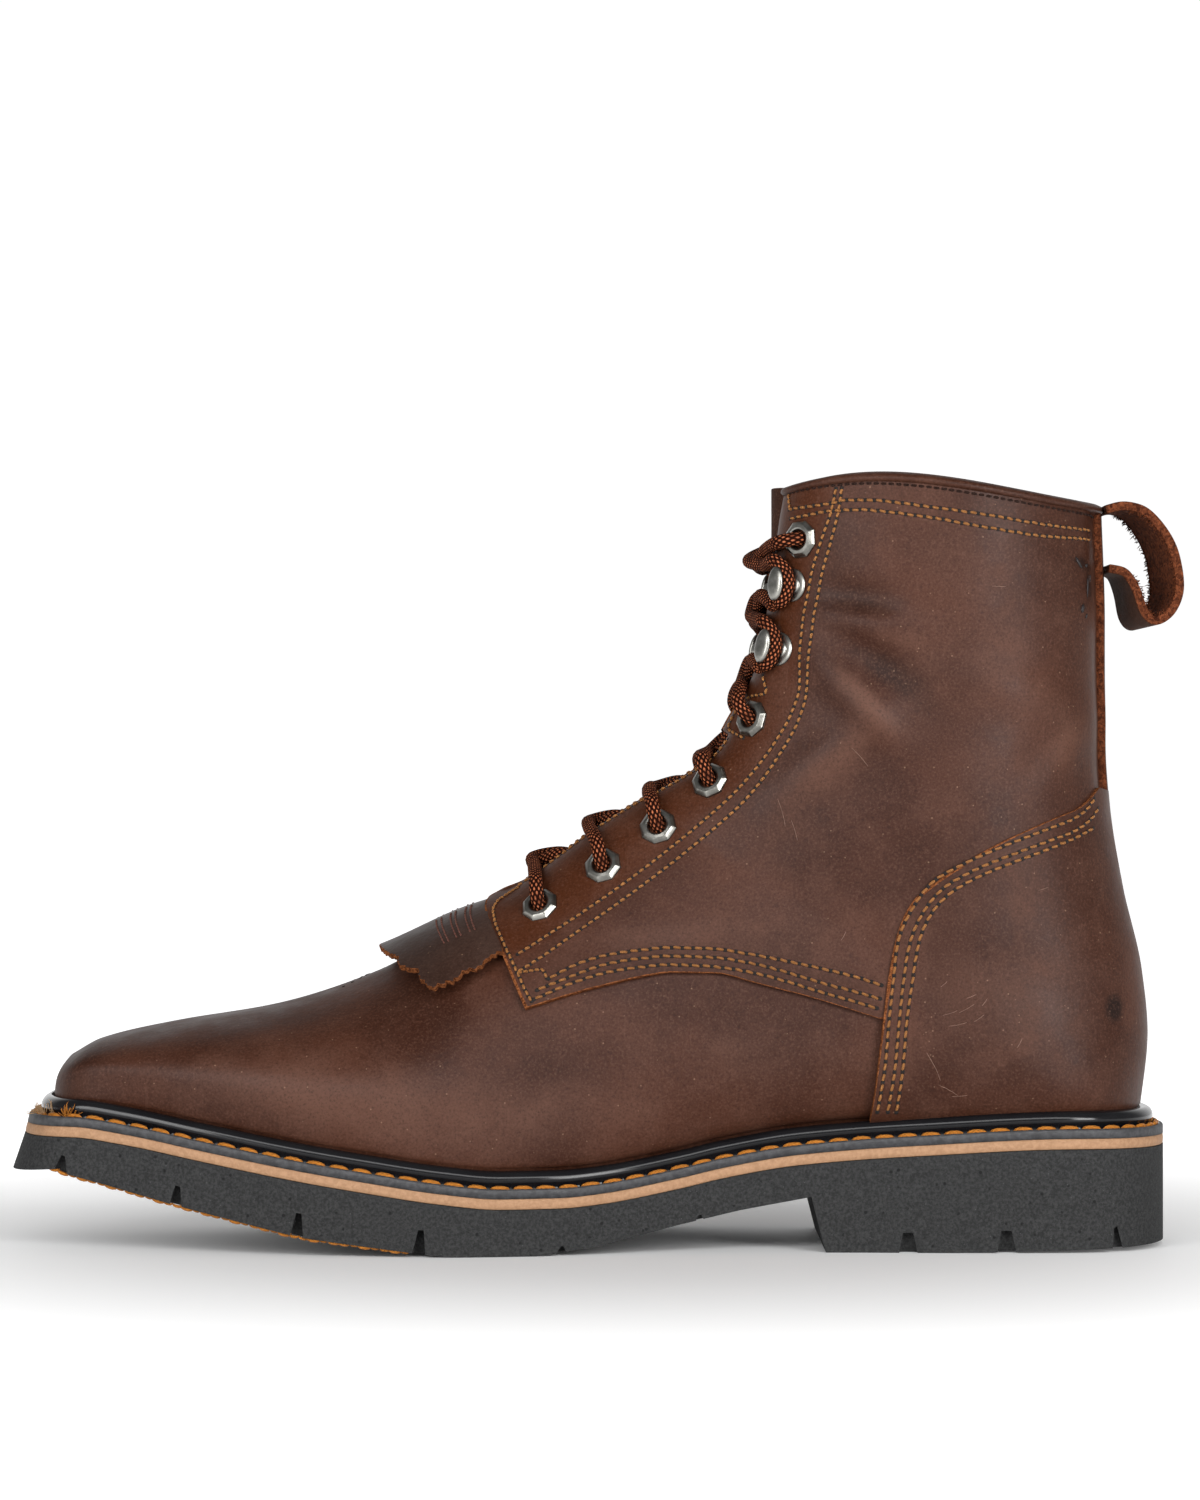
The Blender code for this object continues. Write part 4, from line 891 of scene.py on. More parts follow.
def make_outsole():
    """Slab of cross sections along the boot: flat on top, and below it the cut tread near the edges and
    the plain tread line further in."""
    tread_u, tread_z = tread_line()
    rim_u = plan_u(stations(18, 40, 18))
    inside = (tread_u > rim_u[1]) & (tread_u < rim_u[-2])
    u = np.unique(np.round(np.concatenate((rim_u, tread_u[inside])), 3))
    u = u[np.concatenate(((True,), np.diff(u) > SAME_PLACE))]
    q = (u - WELT_TOE_U) / SOLE_LENGTH
    cut = np.interp(u, tread_u, tread_z)
    uncut = np.interp(u, TREAD["u"], TREAD["z"])
    top = tan_top(u) - MIDSOLE_THICK - SOLE_GAP
    foot_u = u - TOE_FLARE * toe_share(u)
    rings = []
    across = [(MEDIAL, share) for share in CUT_SHARES] + [(LATERAL, share) for share in CUT_SHARES[-2::-1]]
    for side, share in across:
        rings.append((u, side * share * plan_half(q, side), top))
    for side, share in across[::-1]:
        rings.append((foot_u, side * share * plan_half(q, side), cut if share >= CUT_SHARES[1] else uncut))
    grid = np.stack([np.stack(ring, axis=-1) for ring in rings], axis=1)
    faces = quads(len(u), grid.shape[1], round_columns=True)
    last = grid.shape[1] - 1
    ends = np.array([[k, k + 1, last - 1 - k, last - k] for k in range(len(across) - 1)])
    faces = np.concatenate((faces, ends, ends[:, ::-1] + (len(u) - 1) * grid.shape[1]))
    item = piece("outsole_rubber", grid, faces, ["speckled_rubber"], ["outsole"], "black_rubber", True, True,
                 sharp=32)
    return soften(item, 0.45, 38)


outsole = make_outsole()
print("outsole faces:", len(outsole.data.polygons))


# %% Tan layer, welt and insole
def band(name, profile, finishes, replaces, slot, steps=(22, 130, 26), finish_of=None):
    """Profile carried round the sole: rows of (inset from the edge, share of the overhang, rise)."""
    q, sides = loop_stations(*steps)
    rings = [loop_point(q, sides, inset, share, rise) for inset, share, rise in profile]
    grid = np.stack(rings, axis=1)
    faces = quads(len(q), len(profile), round_rows=True, round_columns=True)
    item = piece(name, grid, faces, finishes, replaces, slot, outward=True)
    if finish_of is not None:
        number = np.tile(np.asarray(finish_of, np.int32), len(q))
        item.data.polygons.foreach_set("material_index", number)
    return item


def arc(inset, rise, width, height, steps, start, end):
    """Points of a piece of an ellipse in the profile, between two angles in degrees."""
    angle = np.radians(np.linspace(start, end, steps))
    return [(inset - width * math.cos(t), 0, rise + height * math.sin(t)) for t in angle]


TAN_PROFILE = [(3.0, 0, -2.7), (0.35, 0, -2.7), (0.08, 0, -2.5), (-0.02, 0, -1.3), (0.08, 0, -0.05),
               (0.35, 0, 0.1), (3.0, 0, 0.1), (16, 0, -0.4), (16, 0, -2.0)]
WELT_STRIP = [(0.0, 0, 0.15), (0.0, 0, 2.2), (0.15, 0, 2.5), (0.45, 0, 2.65), (0.95, 0, 2.65),
              (1.15, 0, 2.3), (3.2, 0, 2.2)]
WELT_BEAD = [(3.4, 0, 2.35)] + arc(4.9, 4.85, 2.2, 2.3, 13, -38.0, 96.0)
WELT_INNER = [(-0.9, 1, 7.0), (-0.15, 1, 6.5), (0.1, 1, 5.0), (0.1, 1, 0.15)]
WELT_PROFILE = WELT_STRIP + WELT_BEAD + WELT_INNER
# The channel where the welt thread lies gets the bead's black finish too: painted shade in the recess beside
# the bead.
dull_rows = len(WELT_STRIP) - 3
glossy = [0] * dull_rows + [1] * (len(WELT_PROFILE) - dull_rows - 1) + [0]
tan_band = band("tan_band", TAN_PROFILE, ["tan_layer"], ["midsole"], "tan_rubber")
welt = band("storm_welt", WELT_PROFILE, ["welt_edge", "welt_bead"], ["welt"], "welt_black", finish_of=glossy)
INSOLE_INSET, INSOLE_RISE, INSOLE_DISH, INSOLE_THICK = 2.8, 3.4, 0.6, 3.0


def make_insole():
    """Board inside: a shallow dished slab a little smaller than the feather line."""
    q = stations(14, 40, 14)
    across = np.linspace(-1, 1, 15)
    u = plan_u(q, INSOLE_INSET, 1)
    medial, lateral = (plan_half(q, side, INSOLE_INSET, 1)[:, None] for side in SIDES)
    half = np.where(across[None, :] < 0, medial, lateral)
    height = tan_top(u)[:, None] + INSOLE_RISE + INSOLE_DISH * np.abs(across[None, :]) ** 4
    grid = np.stack((np.broadcast_to(u[:, None], half.shape), across[None, :] * half, height), axis=-1)
    item = piece("insole_board", grid, quads(*half.shape, flip=True), ["insole_board"], ["insole"],
                 "insole_board", True)
    return thicken(item, INSOLE_THICK)


insole = make_insole()
print("tan layer, welt and insole:", [len(item.data.polygons) for item in (tan_band, welt, insole)])

# %% [markdown]
# ## The upper
# The wall itself is one grid over the last, medial foot to ridge and down again to the lateral foot,
# with the throat left open.  Its outer face carries the folds; a thickness inwards gives the lining.

# %% Vamp and shaft wall
FOOT_TUCK = 0.9
UPPER_THICK = 2.0


def make_upper():
    """The wall's grid from medial foot to lateral foot, less the throat, with a skirt down to the welt."""
    v = np.concatenate((stations(26, 64, 22), np.linspace(1, 2, 76)[1:]))
    v = np.sort(np.append(v, THROAT_V))
    a = np.concatenate((np.linspace(0, 0.9, 40), np.linspace(0.9, 1, 9)[1:]))
    halves = skin(v[:, None], a[None, :], MEDIAL), skin(v[:, None], a[None, ::-1], LATERAL)
    grid = np.concatenate(halves, axis=1)
    low = grid[v <= 1]
    foot = low[:, [0, -1]].copy()
    foot[..., 2] -= FEATHER_RISE - FOOT_TUCK
    columns = grid.shape[1]
    faces = quads(len(v), columns, flip=True)
    row, column = np.divmod(np.arange(len(faces)), columns - 1)
    faces = faces[(column != len(a) - 1) | (v[row + 1] <= THROAT_V)]
    i = np.arange(len(low) - 1)
    start, end = grid.shape[0] * columns + 2 * i, (i + 1) * columns
    medial = np.stack((i * columns, start, start + 2, end), axis=-1)
    lateral = np.stack((end + columns - 1, start + 3, start + 1, i * columns + columns - 1), axis=-1)
    points = np.concatenate((grid.reshape(-1, 3), foot.reshape(-1, 3)))
    item = piece("upper_leather", points, np.concatenate((faces, medial, lateral)),
                 ["waxed_brown", "lining_tan", "raw_edge"], ["upper"], "brown_leather", True,
                 tones={"wear_and_painted_light": wear_and_painted_light_both(points)})
    return thicken(item, UPPER_THICK, 1, 2)


upper = make_upper()
print("upper faces:", len(upper.data.polygons))

# %% [markdown]
# ## Quarters, counter, strip and collar
# These are sheets of the same leather sewn on top, so they are cut out of the same function: a seam
# is a line in the side view, turned into v and a, and the panel is the grid between its seams.  The
# cut edge shows the paler raw middle of the hide, so the rim has a finish of its own.

# %% Seams seen from the side
QUARTER_SEAM = table(("u", "z"), (
    (138.8, 64.4), (157.2, 69.9), (176.9, 73.8), (187.9, 73.7), (201.0, 70.6), (213.9, 67.3), (231.6, 61.9)))
COUNTER_EDGE = table(("u", "z"), (
    (228.9, 35.4), (229.8, 40.0), (231.6, 55.0), (233.8, 73.0), (237.2, 87.0), (240.4, 93.0), (258.9, 106.2),
    (274.5, 113.6), (284.0, 117.6), (289.0, 122.5)))
FRONT_EDGE = table(("a", "v"), (
    (0.50, 0.553), (0.583, 0.571), (0.641, 0.585), (0.734, 0.608), (0.842, 0.632), (0.922, 0.649),
    (0.97, 0.662), (0.99, 0.674), (1.0, 0.692)))
EYESTAY = table(("u", "z"), (
    (136.3, 77.4), (143.5, 82.2), (151.7, 87.6), (166.8, 98.3), (183.2, 111.3), (196.6, 123.5),
    (204.9, 134.4), (209.4, 142.6), (211.5, 149.6), (211.9, 158.9), (213.0, 169.0), (214.4, 178.1),
    (217.5, 188.3), (219.9, 196.3), (221.0, 202.0)))
STRIP_HALF, STRIP_STEP = 7.5, 1.5
QUARTER_LIFT, QUARTER_THICK = 1.9, 1.7
COUNTER_LIFT, COUNTER_THICK = 2.6, 2.1
EDGE_BEVEL = 0.3


def seam(points, steps):
    """Smooth line through seam points in the side view, as arrays of u and z."""
    knots = np.arange(float(len(points["u"])))
    place = np.linspace(0, knots[-1], steps)
    return smooth(place, knots, points["u"]), smooth(place, knots, points["z"])


seam_v, seam_a = address(*seam(QUARTER_SEAM, 160))
edge_v, edge_a = address(*seam(COUNTER_EDGE, 240))
stay_v, stay_a = address(*seam(EYESTAY, 200))
front_a = np.linspace(0.5, 1, 80)
front_v = smooth(front_a, FRONT_EDGE["a"], FRONT_EDGE["v"])
print("quarter seam from v", round(seam_v[0], 3), "to", round(seam_v[-1], 3))
print("counter up to v", round(edge_v[-1], 3))

# %% Quarters
QUARTER_TOP_V = 1.984
QUARTER_TURNS = 14
TAB_V, TAB_SOFT, TAB_OUT, TAB_RISE = 1.392, 0.012, 1.9, 2.1
TAB_FROM_A, TAB_WIDE, TAB_PEAK_V, TAB_FALL = 0.86, 0.14, 1.42, 0.16
FRONT_LIFT, FRONT_REACH, FRONT_FROM_A, FRONT_FADE = 1.5, 0.035, 0.66, 0.12
SINK_FROM_V, SINK_FADE, SINK_WIDE = 1.45, 0.06, 0.1
STRIP_BLEND, STRIP_UNDER, STRIP_FROM_V = 0.05, 2.0, 1.1
COUNTER_UNDER = 0.03
EYESTAY_FADE = 0.05


def quarter_low(v, side):
    """Lower edge of the quarter as a over v: its own seam, then under the counter, then the strip."""
    joint = edge_v > seam_v[-1]
    under = COUNTER_UNDER * ease((edge_v[joint] - seam_v[-1]) / COUNTER_UNDER)
    line_v = np.concatenate((seam_v, edge_v[joint]))
    line_a = np.concatenate((seam_a, edge_a[joint] - under))
    behind = back_share(v, side, STRIP_HALF - STRIP_UNDER)
    low = np.interp(v, line_v, line_a)
    low = low + (behind - low) * ease((v - edge_v[-1]) / STRIP_BLEND + 1)
    return np.maximum(low, np.where(v > STRIP_FROM_V, behind, 0.0))


def quarter_front(a):
    """Front edge as v over a, with its rounded top corner."""
    return smooth(a, FRONT_EDGE["a"], FRONT_EDGE["v"])


def quarter_grid(s, t, side):
    """v and a of a quarter's places: a = low(v) + (1 − low) s and v = front(a) + (2 − front) t,
    settled by turns."""
    v = 0.6 + 1.4 * t + 0 * s
    a = s + 0 * t
    for _ in range(QUARTER_TURNS):
        low = quarter_low(v, side)
        a = low + (1 - low) * s
        front = quarter_front(a)
        v = front + (QUARTER_TOP_V - front) * t
    return v, a


def quarter_points(v, a, side):
    """Outer face: lifted off the wall, a little more at the front edge where it runs over the kiltie,
    and drawn out along the throat into the upper tab."""
    normal = wall_normal(v, a, side)
    beside = np.clip((a - back_share(v, side, STRIP_HALF)) / SINK_WIDE, 0, 1)
    sink = STRIP_STEP * (1 - ease(beside)) * ease((v - SINK_FROM_V) / SINK_FADE)
    near_front = np.exp(-((v - quarter_front(a)) / FRONT_REACH) ** 2) * ease((a - FRONT_FROM_A) / FRONT_FADE)
    points = skin(v, a, side, QUARTER_LIFT) + normal * (FRONT_LIFT * near_front - sink)[..., None]
    tab = ease((v - TAB_V) / TAB_SOFT + 0.5) * ease((a - TAB_FROM_A) / TAB_WIDE)
    points[..., 1] -= side * tab * TAB_OUT
    return points + upward(v) * (tab * TAB_RISE * (1 - ease((v - TAB_PEAK_V) / TAB_FALL)))[..., None]


def make_quarter(side):
    """One quarter: its grid is finer at the cut edges and at the tab's step, and its first row and
    column are the cut edge."""
    s = np.concatenate(((0, 0.005), np.linspace(0.012, 0.9, 62), np.linspace(0.9, 0.996, 14)[1:], (1,)))
    t = np.concatenate(((0, 0.0028), np.linspace(0.006, 0.50, 72), np.linspace(0.50, 0.58, 26)[1:],
                        np.linspace(0.58, 1, 62)[1:]))
    v, a = quarter_grid(s[None, :], t[:, None], side)
    grid = quarter_points(v, a, side)
    name = SIDES[side]
    facing = ease((a - np.interp(v, stay_v, stay_a)) / EYESTAY_FADE + 0.5)
    item = piece("quarter_" + name + "_leather", grid, quads(*v.shape, flip=side == MEDIAL),
                 ["waxed_brown", "lining_tan", "raw_edge"], ["quarter_" + name], "brown_leather",
                 tones={"wear_and_painted_light": wear_and_painted_light(grid, side), "facing": facing})
    cut = np.zeros((len(t) - 1, len(s) - 1), np.int32)
    cut[0], cut[:, 0] = 2, 2
    item.data.polygons.foreach_set("material_index", cut.ravel())
    return thicken(item, QUARTER_THICK, 1, 2, EDGE_BEVEL)


quarters = [make_quarter(side) for side in SIDES]
print("quarter faces:", [len(item.data.polygons) for item in quarters])

# %% Counter and back strip
STRIP_V, STRIP_LIFT, STRIP_THICK, STRIP_COLUMNS = (1.50, 1.988), 2.5, 2.6, 14
COUNTER_FOOT = 0.02


def make_counter():
    """Heel overlay: on each side the grid between the foot and the counter's edge."""
    v = np.linspace(edge_v[0], edge_v[-1], 130)
    s = np.append(np.linspace(0, 0.992, 96), 1.0)
    top = np.interp(v, edge_v, edge_a)
    low = np.where(v < 1, COUNTER_FOOT, 0.0) * np.clip(top / 0.1, 0, 1)
    a = low[:, None] + (top - low)[:, None] * s[None, :]
    parts = []
    for side in SIDES:
        grid = skin(v[:, None], a, side, COUNTER_LIFT)
        parts.append((grid, quads(*a.shape, flip=side == MEDIAL)))
    points, faces = joined(parts)
    item = piece("counter_leather", points, faces, ["waxed_brown", "raw_edge"], ["counter"], "brown_leather",
                 True, tones={"wear_and_painted_light": wear_and_painted_light_both(points)})
    cut = np.zeros((len(SIDES), len(v) - 1, len(s) - 1), np.int32)
    cut[..., -1] = 1
    item.data.polygons.foreach_set("material_index", cut.ravel())
    return thicken(item, COUNTER_THICK, 0, 1, EDGE_BEVEL)


def make_strip():
    """Strip over the back seam; its thick raw edge shows from the side."""
    v = np.linspace(*STRIP_V, 60)
    parts = []
    for side in SIDES:
        a = back_share(v, side, STRIP_HALF)[:, None] * np.linspace(0, 1, STRIP_COLUMNS)[None, :]
        parts.append((skin(v[:, None], a, side, STRIP_LIFT), quads(*a.shape, flip=side == MEDIAL)))
    points, faces = joined(parts)
    item = piece("strip_leather", points, faces, ["waxed_brown", "suede"], ["back_strip"],
                 "brown_leather", True)
    return thicken(item, STRIP_THICK, 0, 1, EDGE_BEVEL)


counter = make_counter()
strip = make_strip()
print("counter and strip faces:", len(counter.data.polygons), len(strip.data.polygons))

# %% Rolled collar
ROLL = ((0.4, -3.4), (1.5, -2.75), (2.5, -2.55), (2.95, -2.1), (3.0, -1.5), (2.6, -0.85), (1.6, -0.35),
        (0.2, -0.15), (-1.3, -0.5), (-2.3, -1.4), (-2.6, -2.6), (-2.45, -4.5), (-2.3, -7.0), (0.0, -7.2))
ROLL_STEP = 0.015


def make_roll():
    """Bound edge: a rounded cap over the top of the wall, carried from throat to throat."""
    a = np.concatenate((np.linspace(1, 0.92, 8), np.linspace(0.92, 0, 70)[1:]))
    path, out, up = [], [], []
    for side, share in ((MEDIAL, a), (LATERAL, a[-2::-1])):
        path.append(skin(2.0, share, side))
        out.append(wall_normal(2.0, share, side))
        up.append(unit(wall(2.0, share, side) - wall(2.0 - ROLL_STEP, share, side)))
    path, out, up = (np.concatenate(part) for part in (path, out, up))
    profile = np.array(ROLL)
    grid = path[:, None, :] + out[:, None, :] * profile[None, :, :1] + up[:, None, :] * profile[None, :, 1:]
    faces = quads(len(path), len(profile), round_columns=True).tolist()
    last = (len(path) - 1) * len(profile)
    ends = [tuple(range(len(profile))), tuple(range(last + len(profile) - 1, last - 1, -1))]
    return piece("collar_roll", grid, faces + ends, ["waxed_brown"], ["collar_band"], "brown_leather",
                 outward=True)


collar = make_roll()
print("collar faces:", len(collar.data.polygons))

# %% [markdown]
# ## Tongue, kiltie and loop
# The tongue is a sheet that bridges the throat and stands up at the collar.  The kiltie is a flap
# whose front is cut into stepped lobes with a pinked edge; it stands off the vamp at its tip and runs
# in under the quarters and the lace.  The loop is a strap with its flesh side inside.

# %% Tongue
TONGUE_BULGE = table(("v", "rise"), ((0.69, 0.0), (1.30, 0.8), (1.65, 2.4), (1.80, 5.6), (2.00, 9.0)))
TONGUE_TUCK, TONGUE_DEPTH, TONGUE_THICK, TONGUE_DARK = 4.5, 3.7, 2.0, -0.7
WRINKLE, WRINKLE_RATE, WRINKLE_V, WRINKLE_REACH = 0.35, 55, 1.35, 0.3


def make_tongue():
    """Sheet across the throat, sunk under its edges: it bulges as one minus the square of the share
    across, with small wrinkles where the ankle bends."""
    v = np.linspace(0.70, 2.0, 120)
    c = np.linspace(-1, 1, 37)
    y = c[None, :] * (throat_half(v) + TONGUE_TUCK)[:, None]
    bulge = smooth(v, TONGUE_BULGE["v"], TONGUE_BULGE["rise"])[:, None]
    reach = np.clip(1 - (y / throat_half(v)[:, None]) ** 2, 0, 1)
    bend = np.exp(-((v - WRINKLE_V) / WRINKLE_REACH) ** 2)[:, None]
    wrinkle = WRINKLE * np.sin(v * WRINKLE_RATE)[:, None] * bend * (1 - c ** 2)[None, :]
    depth = TONGUE_DEPTH - bulge * reach - wrinkle
    grid = bridge(v[:, None], y) - upward(v)[:, None, :] * depth[..., None]
    item = piece("tongue_leather", grid, quads(*y.shape, flip=True), ["loop_brown", "lining_tan", "raw_edge"],
                 ["tongue"], "dark_leather", tones={"wear_and_painted_light": np.full(y.shape, TONGUE_DARK)})
    return thicken(item, TONGUE_THICK, 1, 2, 0.35)


tongue = make_tongue()
print("tongue faces:", len(tongue.data.polygons))

# %% Kiltie
KILTIE_FRONT_V, KILTIE_END_V, KILTIE_NECK_V, KILTIE_NECK = 0.462, 0.765, 0.645, 0.04
KILTIE_HALF, KILTIE_TUCK, KILTIE_CLEAR = 33.4, 2.2, 1.2
KILTIE_GAP, KILTIE_THICK, KILTIE_STAND, STAND_POWER = 0.45, 1.7, 4.3, 0.95
KILTIE_OUT, KILTIE_SPREAD = np.array((-0.5, 0.0, 0.866)), np.array((0.0, 0.75, 0.0))
LOBES = table(("y", "v"), (
    (0.0, 0.4700), (8.0, 0.4695), (11.3, 0.4705), (17.5, 0.4770), (20.9, 0.4840), (22.0, 0.4790),
    (24.5, 0.4780), (26.2, 0.4850), (28.4, 0.4970), (29.4, 0.4910), (31.3, 0.4895), (33.0, 0.4905),
    (33.4, 0.4945)))
KILTIE_EDGE = table(("v", "half"), (
    (0.47, 33.4), (0.53, 33.3), (0.546, 32.4), (0.563, 32.8), (0.580, 31.8), (0.60, 31.2)))
PINKS, PINK_DEEP, RAGGED = 27, 0.0036, 0.0012


def kiltie_half(v, side):
    """Half width: full at the fringe, then just under the quarter's front edge, then inside the throat."""
    y = np.abs(wall(front_v, front_a, side)[:, 1])
    order = np.argsort(front_v)
    beside = np.interp(v, front_v[order], y[order]) + KILTIE_TUCK
    narrow = throat_half(v) - KILTIE_CLEAR
    inside = beside + (narrow - beside) * ease((v - KILTIE_NECK_V) / KILTIE_NECK)
    return np.minimum(smooth(v, *KILTIE_EDGE.values()), inside)


def kiltie_points(v, y):
    """Flap over the vamp: its lift falls from the fringe to the throat."""
    stand = np.clip((THROAT_V - v) / (THROAT_V - KILTIE_FRONT_V), 0, 1)
    lift = KILTIE_GAP + KILTIE_THICK + KILTIE_STAND * stand ** STAND_POWER
    out = KILTIE_OUT + (y / 31.0)[..., None] * KILTIE_SPREAD
    return bridge(v, y) + out * lift[..., None]


def make_kiltie():
    """Flap whose front is the table of lobes plus a zigzag of small teeth and a ragged wave."""
    c = np.linspace(-1, 1, 191)
    p = np.concatenate((np.linspace(0, 0.12, 10), np.linspace(0.12, 1, 46)[1:]))
    pink = np.abs((np.abs(c) * PINKS + 0.5) % 1 - 0.5) * 2
    ragged = np.sin(c * 41) * np.sin(c * 23 + 1) + 0.6 * np.sin(c * 97)
    lobes = np.interp(np.abs(c) * KILTIE_HALF, LOBES["y"], LOBES["v"])
    front = lobes + PINK_DEEP * pink + RAGGED * ragged
    v = front[None, :] + (KILTIE_END_V - front)[None, :] * p[:, None]
    half = np.where(c[None, :] < 0, kiltie_half(v, MEDIAL), kiltie_half(v, LATERAL))
    half = half + (0.22 * np.sin(v * 520) + 0.16 * np.sin(v * 1190 + 1)) * np.abs(c[None, :]) ** 8
    grid = kiltie_points(v, c[None, :] * half)
    item = piece("kiltie_leather", grid, quads(*v.shape, flip=True), ["kiltie_brown", "suede", "raw_edge"],
                 ["kiltie"], "dark_leather")
    return thicken(item, KILTIE_THICK, 1, 2, 0.25)


kiltie = make_kiltie()
print("kiltie faces:", len(kiltie.data.polygons))

# %% Pull loop
LOOP_PATH = table(("u", "z"), (
    (294.4, 181.6), (298.4, 180.8), (301.8, 175.8), (304.0, 169.6), (307.0, 167.4), (311.0, 169.8),
    (313.6, 176.6), (312.2, 185.6), (308.0, 193.2), (303.0, 197.6), (298.2, 198.5), (293.6, 197.4)))
LOOP_WIDTH, LOOP_THICK, LOOP_COLUMNS = 22.0, 2.3, 21
LOOP_LEAN = (-5.0, -1.2)


def loop_path(y):
    """Middle line of the strap at shares y of its half width, with its inward normals; towards the far
    edge the loop is drawn in and down."""
    knots = np.arange(float(len(LOOP_PATH["u"])))
    t = np.linspace(0, knots[-1], 90)
    path = np.stack((smooth(t, knots, LOOP_PATH["u"]), smooth(t, knots, LOOP_PATH["z"])), axis=-1)
    for _ in range(6):
        path[1:-1] = 0.25 * path[:-2] + 0.5 * path[1:-1] + 0.25 * path[2:]
    tangent = unit(np.gradient(path, axis=0))
    slack = np.sin(math.pi * t / knots[-1]) ** 0.8
    lean = 0.5 * (y + 1)[None, :, None] * slack[:, None, None] * np.array(LOOP_LEAN)
    return path[:, None, :] + lean, np.stack((-tangent[:, 1], tangent[:, 0]), axis=-1)


def make_loop():
    """Strap round its path: grain outside, flesh side inside, raw edges."""
    y = np.linspace(-1, 1, LOOP_COLUMNS)
    path, normal = loop_path(y)
    ring = []
    for offset, order in ((-0.5, slice(None)), (0.5, slice(None, None, -1))):
        place = path + normal[:, None, :] * offset * LOOP_THICK
        across = np.broadcast_to(y * LOOP_WIDTH / 2, place.shape[:2])
        row = np.stack((place[..., 0], across, place[..., 1]), axis=-1)
        ring.append(row[:, order])
    grid = np.concatenate(ring, axis=1)
    width = grid.shape[1]
    last = (len(path) - 1) * width
    ends = [tuple(range(width)), tuple(range(last + width - 1, last - 1, -1))]
    item = piece("loop_strap", grid, quads(len(path), width, round_columns=True).tolist() + ends,
                 ["loop_brown", "suede"], ["pull_loop"], "brown_leather", outward=True)
    grain = LOOP_COLUMNS - 1
    kinds = np.array([0] * grain + [1] * (width - grain), np.int32)
    kinds = np.append(np.tile(kinds, len(path) - 1), (1, 1)).astype(np.int32)
    item.data.polygons.foreach_set("material_index", kinds)
    return soften(item, 0.5, 60)


loop = make_loop()
print("loop faces:", len(loop.data.polygons))

# %% [markdown]
# ## Eyelets, hooks and lace
# The eyelets are eight-sided nuts of metal with a round bore; the hooks are an oval base, a post and
# an oval cap.  They stand on the quarter at their rows.  The lace leaves each eyelet, goes over the
# eyestay's edge, crosses the throat and dives under the far edge to the next row.

# %% Rows
LACE_ROWS = table(("u", "z", "edge_rise", "rise"), (
    (141.7, 91.3, 3.9, 4.6), (158.5, 101.9, 3.9, 3.2), (173.2, 112.3, 3.9, 2.2), (187.0, 124.6, 3.9, 2.2),
    (198.2, 141.1, 4.1, 2.8), (205.0, 159.8, 4.0, 4.6), (208.4, 176.6, 4.0, 7.2), (211.0, 188.6, 0.0, 0.0)))
HOOK_ROWS = (6, 7)


def on_quarter(u, z):
    """v and a of the quarter's places that the side view shows at (u, z): what the lift and the tab
    shift is taken off by turns."""
    aim_u, aim_z = u.copy(), z.copy()
    for _ in range(6):
        v, a = address(aim_u, aim_z)
        face = quarter_points(v, a, MEDIAL)
        aim_u, aim_z = aim_u + 0.8 * (u - face[:, 0]), aim_z + 0.8 * (z - face[:, 2])
    off = np.hypot(u - face[:, 0], z - face[:, 2])
    print("rows off their places by at most", round(float(off.max()), 2), "mm")
    return v, a


row_v, row_a = on_quarter(LACE_ROWS["u"], LACE_ROWS["z"])


def row_frame(row, side):
    """Seat of a row on the quarter: point, outward normal, away from the throat, up the throat."""
    v, a = row_v[row], row_a[row]
    seat = quarter_points(np.array(v), np.array(a), side)
    normal = unit(wall_normal(v, a, side) + np.array((0.0, 0.08 * side, 0.0)))
    out = wall(v, a - 0.01, side) - wall(v, a + 0.01, side)
    out = unit(out - normal * np.dot(out, normal))
    along = np.cross(normal, out)
    along = along * np.sign(np.dot(along, wall(v + 0.01, a, side) - wall(v - 0.01, a, side)))
    return seat, normal, out, along


print("rows at v:", np.round(row_v, 3))

# %% Eyelets and hooks
EYELET_PROFILE = table(("radius", "rise", "facet"), (
    (5.15, -0.5, 1.0), (5.15, 0.5, 1.0), (5.0, 0.72, 1.0), (4.25, 1.45, 0.95), (4.05, 1.56, 0.8),
    (3.1, 1.7, 0.0), (2.75, 1.6, 0.0), (2.45, 1.25, 0.0), (2.35, 0.7, 0.0), (2.3, -2.6, 0.0)))


def make_eyelet(row, side):
    """Turned ring whose outer rows follow an octagon: radius over the cosine to the nearest flat."""
    seat, normal, out, along = row_frame(row, side)
    angle = np.linspace(0, 2 * math.pi, 64, endpoint=False)
    flat = np.cos(math.pi / 8) / np.cos((angle + 0.3) % (math.pi / 4) - math.pi / 8)
    radius = EYELET_PROFILE["radius"][:, None] * (1 + EYELET_PROFILE["facet"][:, None] * (flat - 1)[None, :])
    ray = np.cos(angle)[:, None] * out + np.sin(angle)[:, None] * along
    grid = seat + ray[None] * radius[..., None] + normal * EYELET_PROFILE["rise"][:, None, None]
    name = f"eyelet_{SIDES[side]}_{row + 1}"
    return piece(name + "_metal", grid, quads(len(radius), len(angle), round_columns=True), ["nickel"],
                 [name], "nickel", outward=True, sharp=20)


